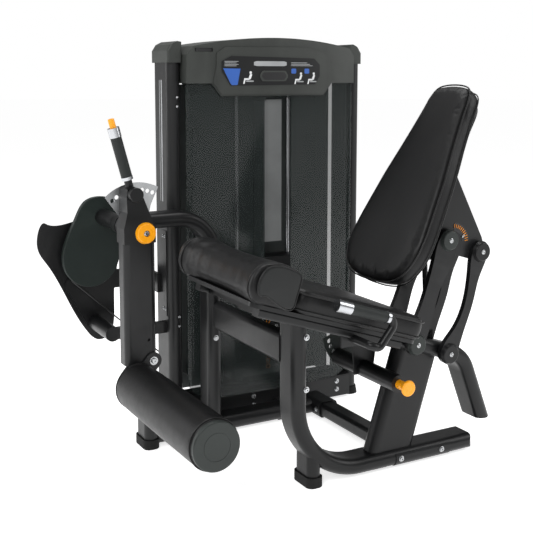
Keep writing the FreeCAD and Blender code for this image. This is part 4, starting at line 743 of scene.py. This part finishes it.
def angle_scale():
    """Backrest angle scale: an arc of plain tick marks on the bracket, and its silver pointer."""
    y = -157.0
    cx, cz = 545.0, 840.0
    bm = bmesh.new()
    arc = [5 + 8 * k for k in range(11)]
    outer = [(cx + 78 * math.cos(math.radians(a)), cz + 78 * math.sin(math.radians(a)))
             for a in arc]
    inner = [(cx + 44 * math.cos(math.radians(a)), cz + 44 * math.sin(math.radians(a)))
             for a in arc]
    verts = []
    for (xo, zo), (xi, zi) in zip(outer, inner):
        verts.append([bm.verts.new(at(x, yy, z)) for x, z, yy in
                      ((xo, zo, y), (xi, zi, y), (xi, zi, y + 1.2), (xo, zo, y + 1.2))])
    for a, b in zip(verts, verts[1:]):
        for k in range(4):
            bm.faces.new((a[k], a[(k + 1) % 4], b[(k + 1) % 4], b[k]))
    bm.faces.new(verts[0])
    bm.faces.new(verts[-1])
    piece("scale_backing", bm, DARK_INK, "backrest", smooth=False)
    for k, a in enumerate(arc):
        direction = Vector((math.cos(math.radians(a)), 0, math.sin(math.radians(a))))
        start = at(cx, y - 0.4, cz) + direction * 0.058
        points = [start, start + direction * 0.014]
        bead("scale_tick_%02d" % k, points, 0.0016, ORANGE_INK, "backrest",
             steps=6)
    pointer = [at(588, y - 1.5, 858), at(596, y - 1.5, 868)]
    bead("scale_pointer", pointer, 0.004, BOLT, "backrest", steps=8)


def post_trim():
    """Plain inlay down the left post's outer face, and small screws at its front edge."""
    for k, (y, width) in enumerate(((718, 0.010), (738, 0.004))):
        bm = bmesh.new()
        tag_box(bm, at(-265.4, y, 1200), 0.0012, width, 0.50)
        bmesh.ops.bevel(bm, geom=bm.edges, offset=0.0004, segments=1, affect="EDGES")
        piece("post_inlay_%d" % k, bm, SILVER_INK, "frame", smooth=False)
    for k, z in enumerate((1380, 1343, 470, 430)):
        button_bolt("post_screw_%d" % k, at(-226, 649.6, z), Vector((0, -1, 0)), "frame",
                    head=4.0, tall=2.4, washer=5.0)


def header_trim():
    """Dark box set into the header's vent slot, painted shade for the slot's dark inside."""
    bm = bmesh.new()
    # painted shade: a near-black box behind the vent slot stands in for the shade inside it
    tag_box(bm, Vector((at(-128, 0, 0).x, header_front(-128) + 0.012, 1.571)), 0.074, 0.006, 0.012)
    piece("vent_slot_painted_shade", bm, DARK_INK, "frame", smooth=False)


hub_bolts()
seat_cushion()
backrest()
thigh_roll()
end_panel()
ankle_roller()
cables()
placard()
plate_numbers()
angle_scale()
post_trim()
header_trim()


# ------------------------------------------------------------------ floor, light and camera
def stage():
    bm = bmesh.new()
    bmesh.ops.create_circle(bm, cap_ends=True, segments=96, radius=60)
    bmesh.ops.translate(bm, verts=bm.verts, vec=(0, 0, -0.0005))
    mesh = bpy.data.meshes.new("floor")
    bm.to_mesh(mesh)
    bm.free()
    floor = bpy.data.objects.new("floor", mesh)
    scene.collection.objects.link(floor)
    paint = surface("pale_floor", (0.90, 0.90, 0.90), 0.9, grain=60, mottle=0.01, specular=0.0)
    paint.node_tree.nodes["Principled BSDF"].inputs["Emission Color"].default_value = (1, 1, 1, 1)
    paint.node_tree.nodes["Principled BSDF"].inputs["Emission Strength"].default_value = 0.72
    mesh.materials.append(paint)

    world = bpy.data.worlds.new("studio")
    scene.world = world
    world.use_nodes = True
    tree = world.node_tree
    sky = tree.nodes["Background"]
    sky.inputs["Color"].default_value = (1, 1, 1, 1)
    path = tree.nodes.new("ShaderNodeLightPath")
    level = tree.nodes.new("ShaderNodeMapRange")
    level.inputs["To Min"].default_value = 0.30
    level.inputs["To Max"].default_value = 1.0
    tree.links.new(path.outputs["Is Camera Ray"], level.inputs["Value"])
    tree.links.new(level.outputs["Result"], sky.inputs["Strength"])

    for name, place, power, wide, tall in (
            ("key", (-3.4, -3.2, 4.2), 150, 2.6, 2.6), ("fill", (4.2, -2.6, 3.0), 70, 2.4, 3.0),
            ("top", (0.3, 0.6, 4.6), 110, 3.2, 3.2), ("rim", (-3.6, 2.8, 2.4), 60, 1.2, 3.0)):
        data = bpy.data.lights.new(name, "AREA")
        data.energy = power
        data.shape = "RECTANGLE"
        data.size = wide
        data.size_y = tall
        lamp = bpy.data.objects.new(name, data)
        lamp.location = place
        lamp.rotation_euler = (Vector((0, 0, 0.7)) - Vector(place)).to_track_quat("-Z", "Y").to_euler()
        scene.collection.objects.link(lamp)

    data = bpy.data.cameras.new("camera")
    data.lens = 64.346
    data.sensor_width = 36.0
    data.shift_y = -0.15
    camera = bpy.data.objects.new("camera", data)
    camera.location = (-1.8006, -3.1802, 1.4634)
    camera.rotation_euler = (math.radians(90 - 6.582), 0, math.radians(-29.004))
    scene.collection.objects.link(camera)
    scene.camera = camera
    scene.view_settings.view_transform = "Standard"


stage()
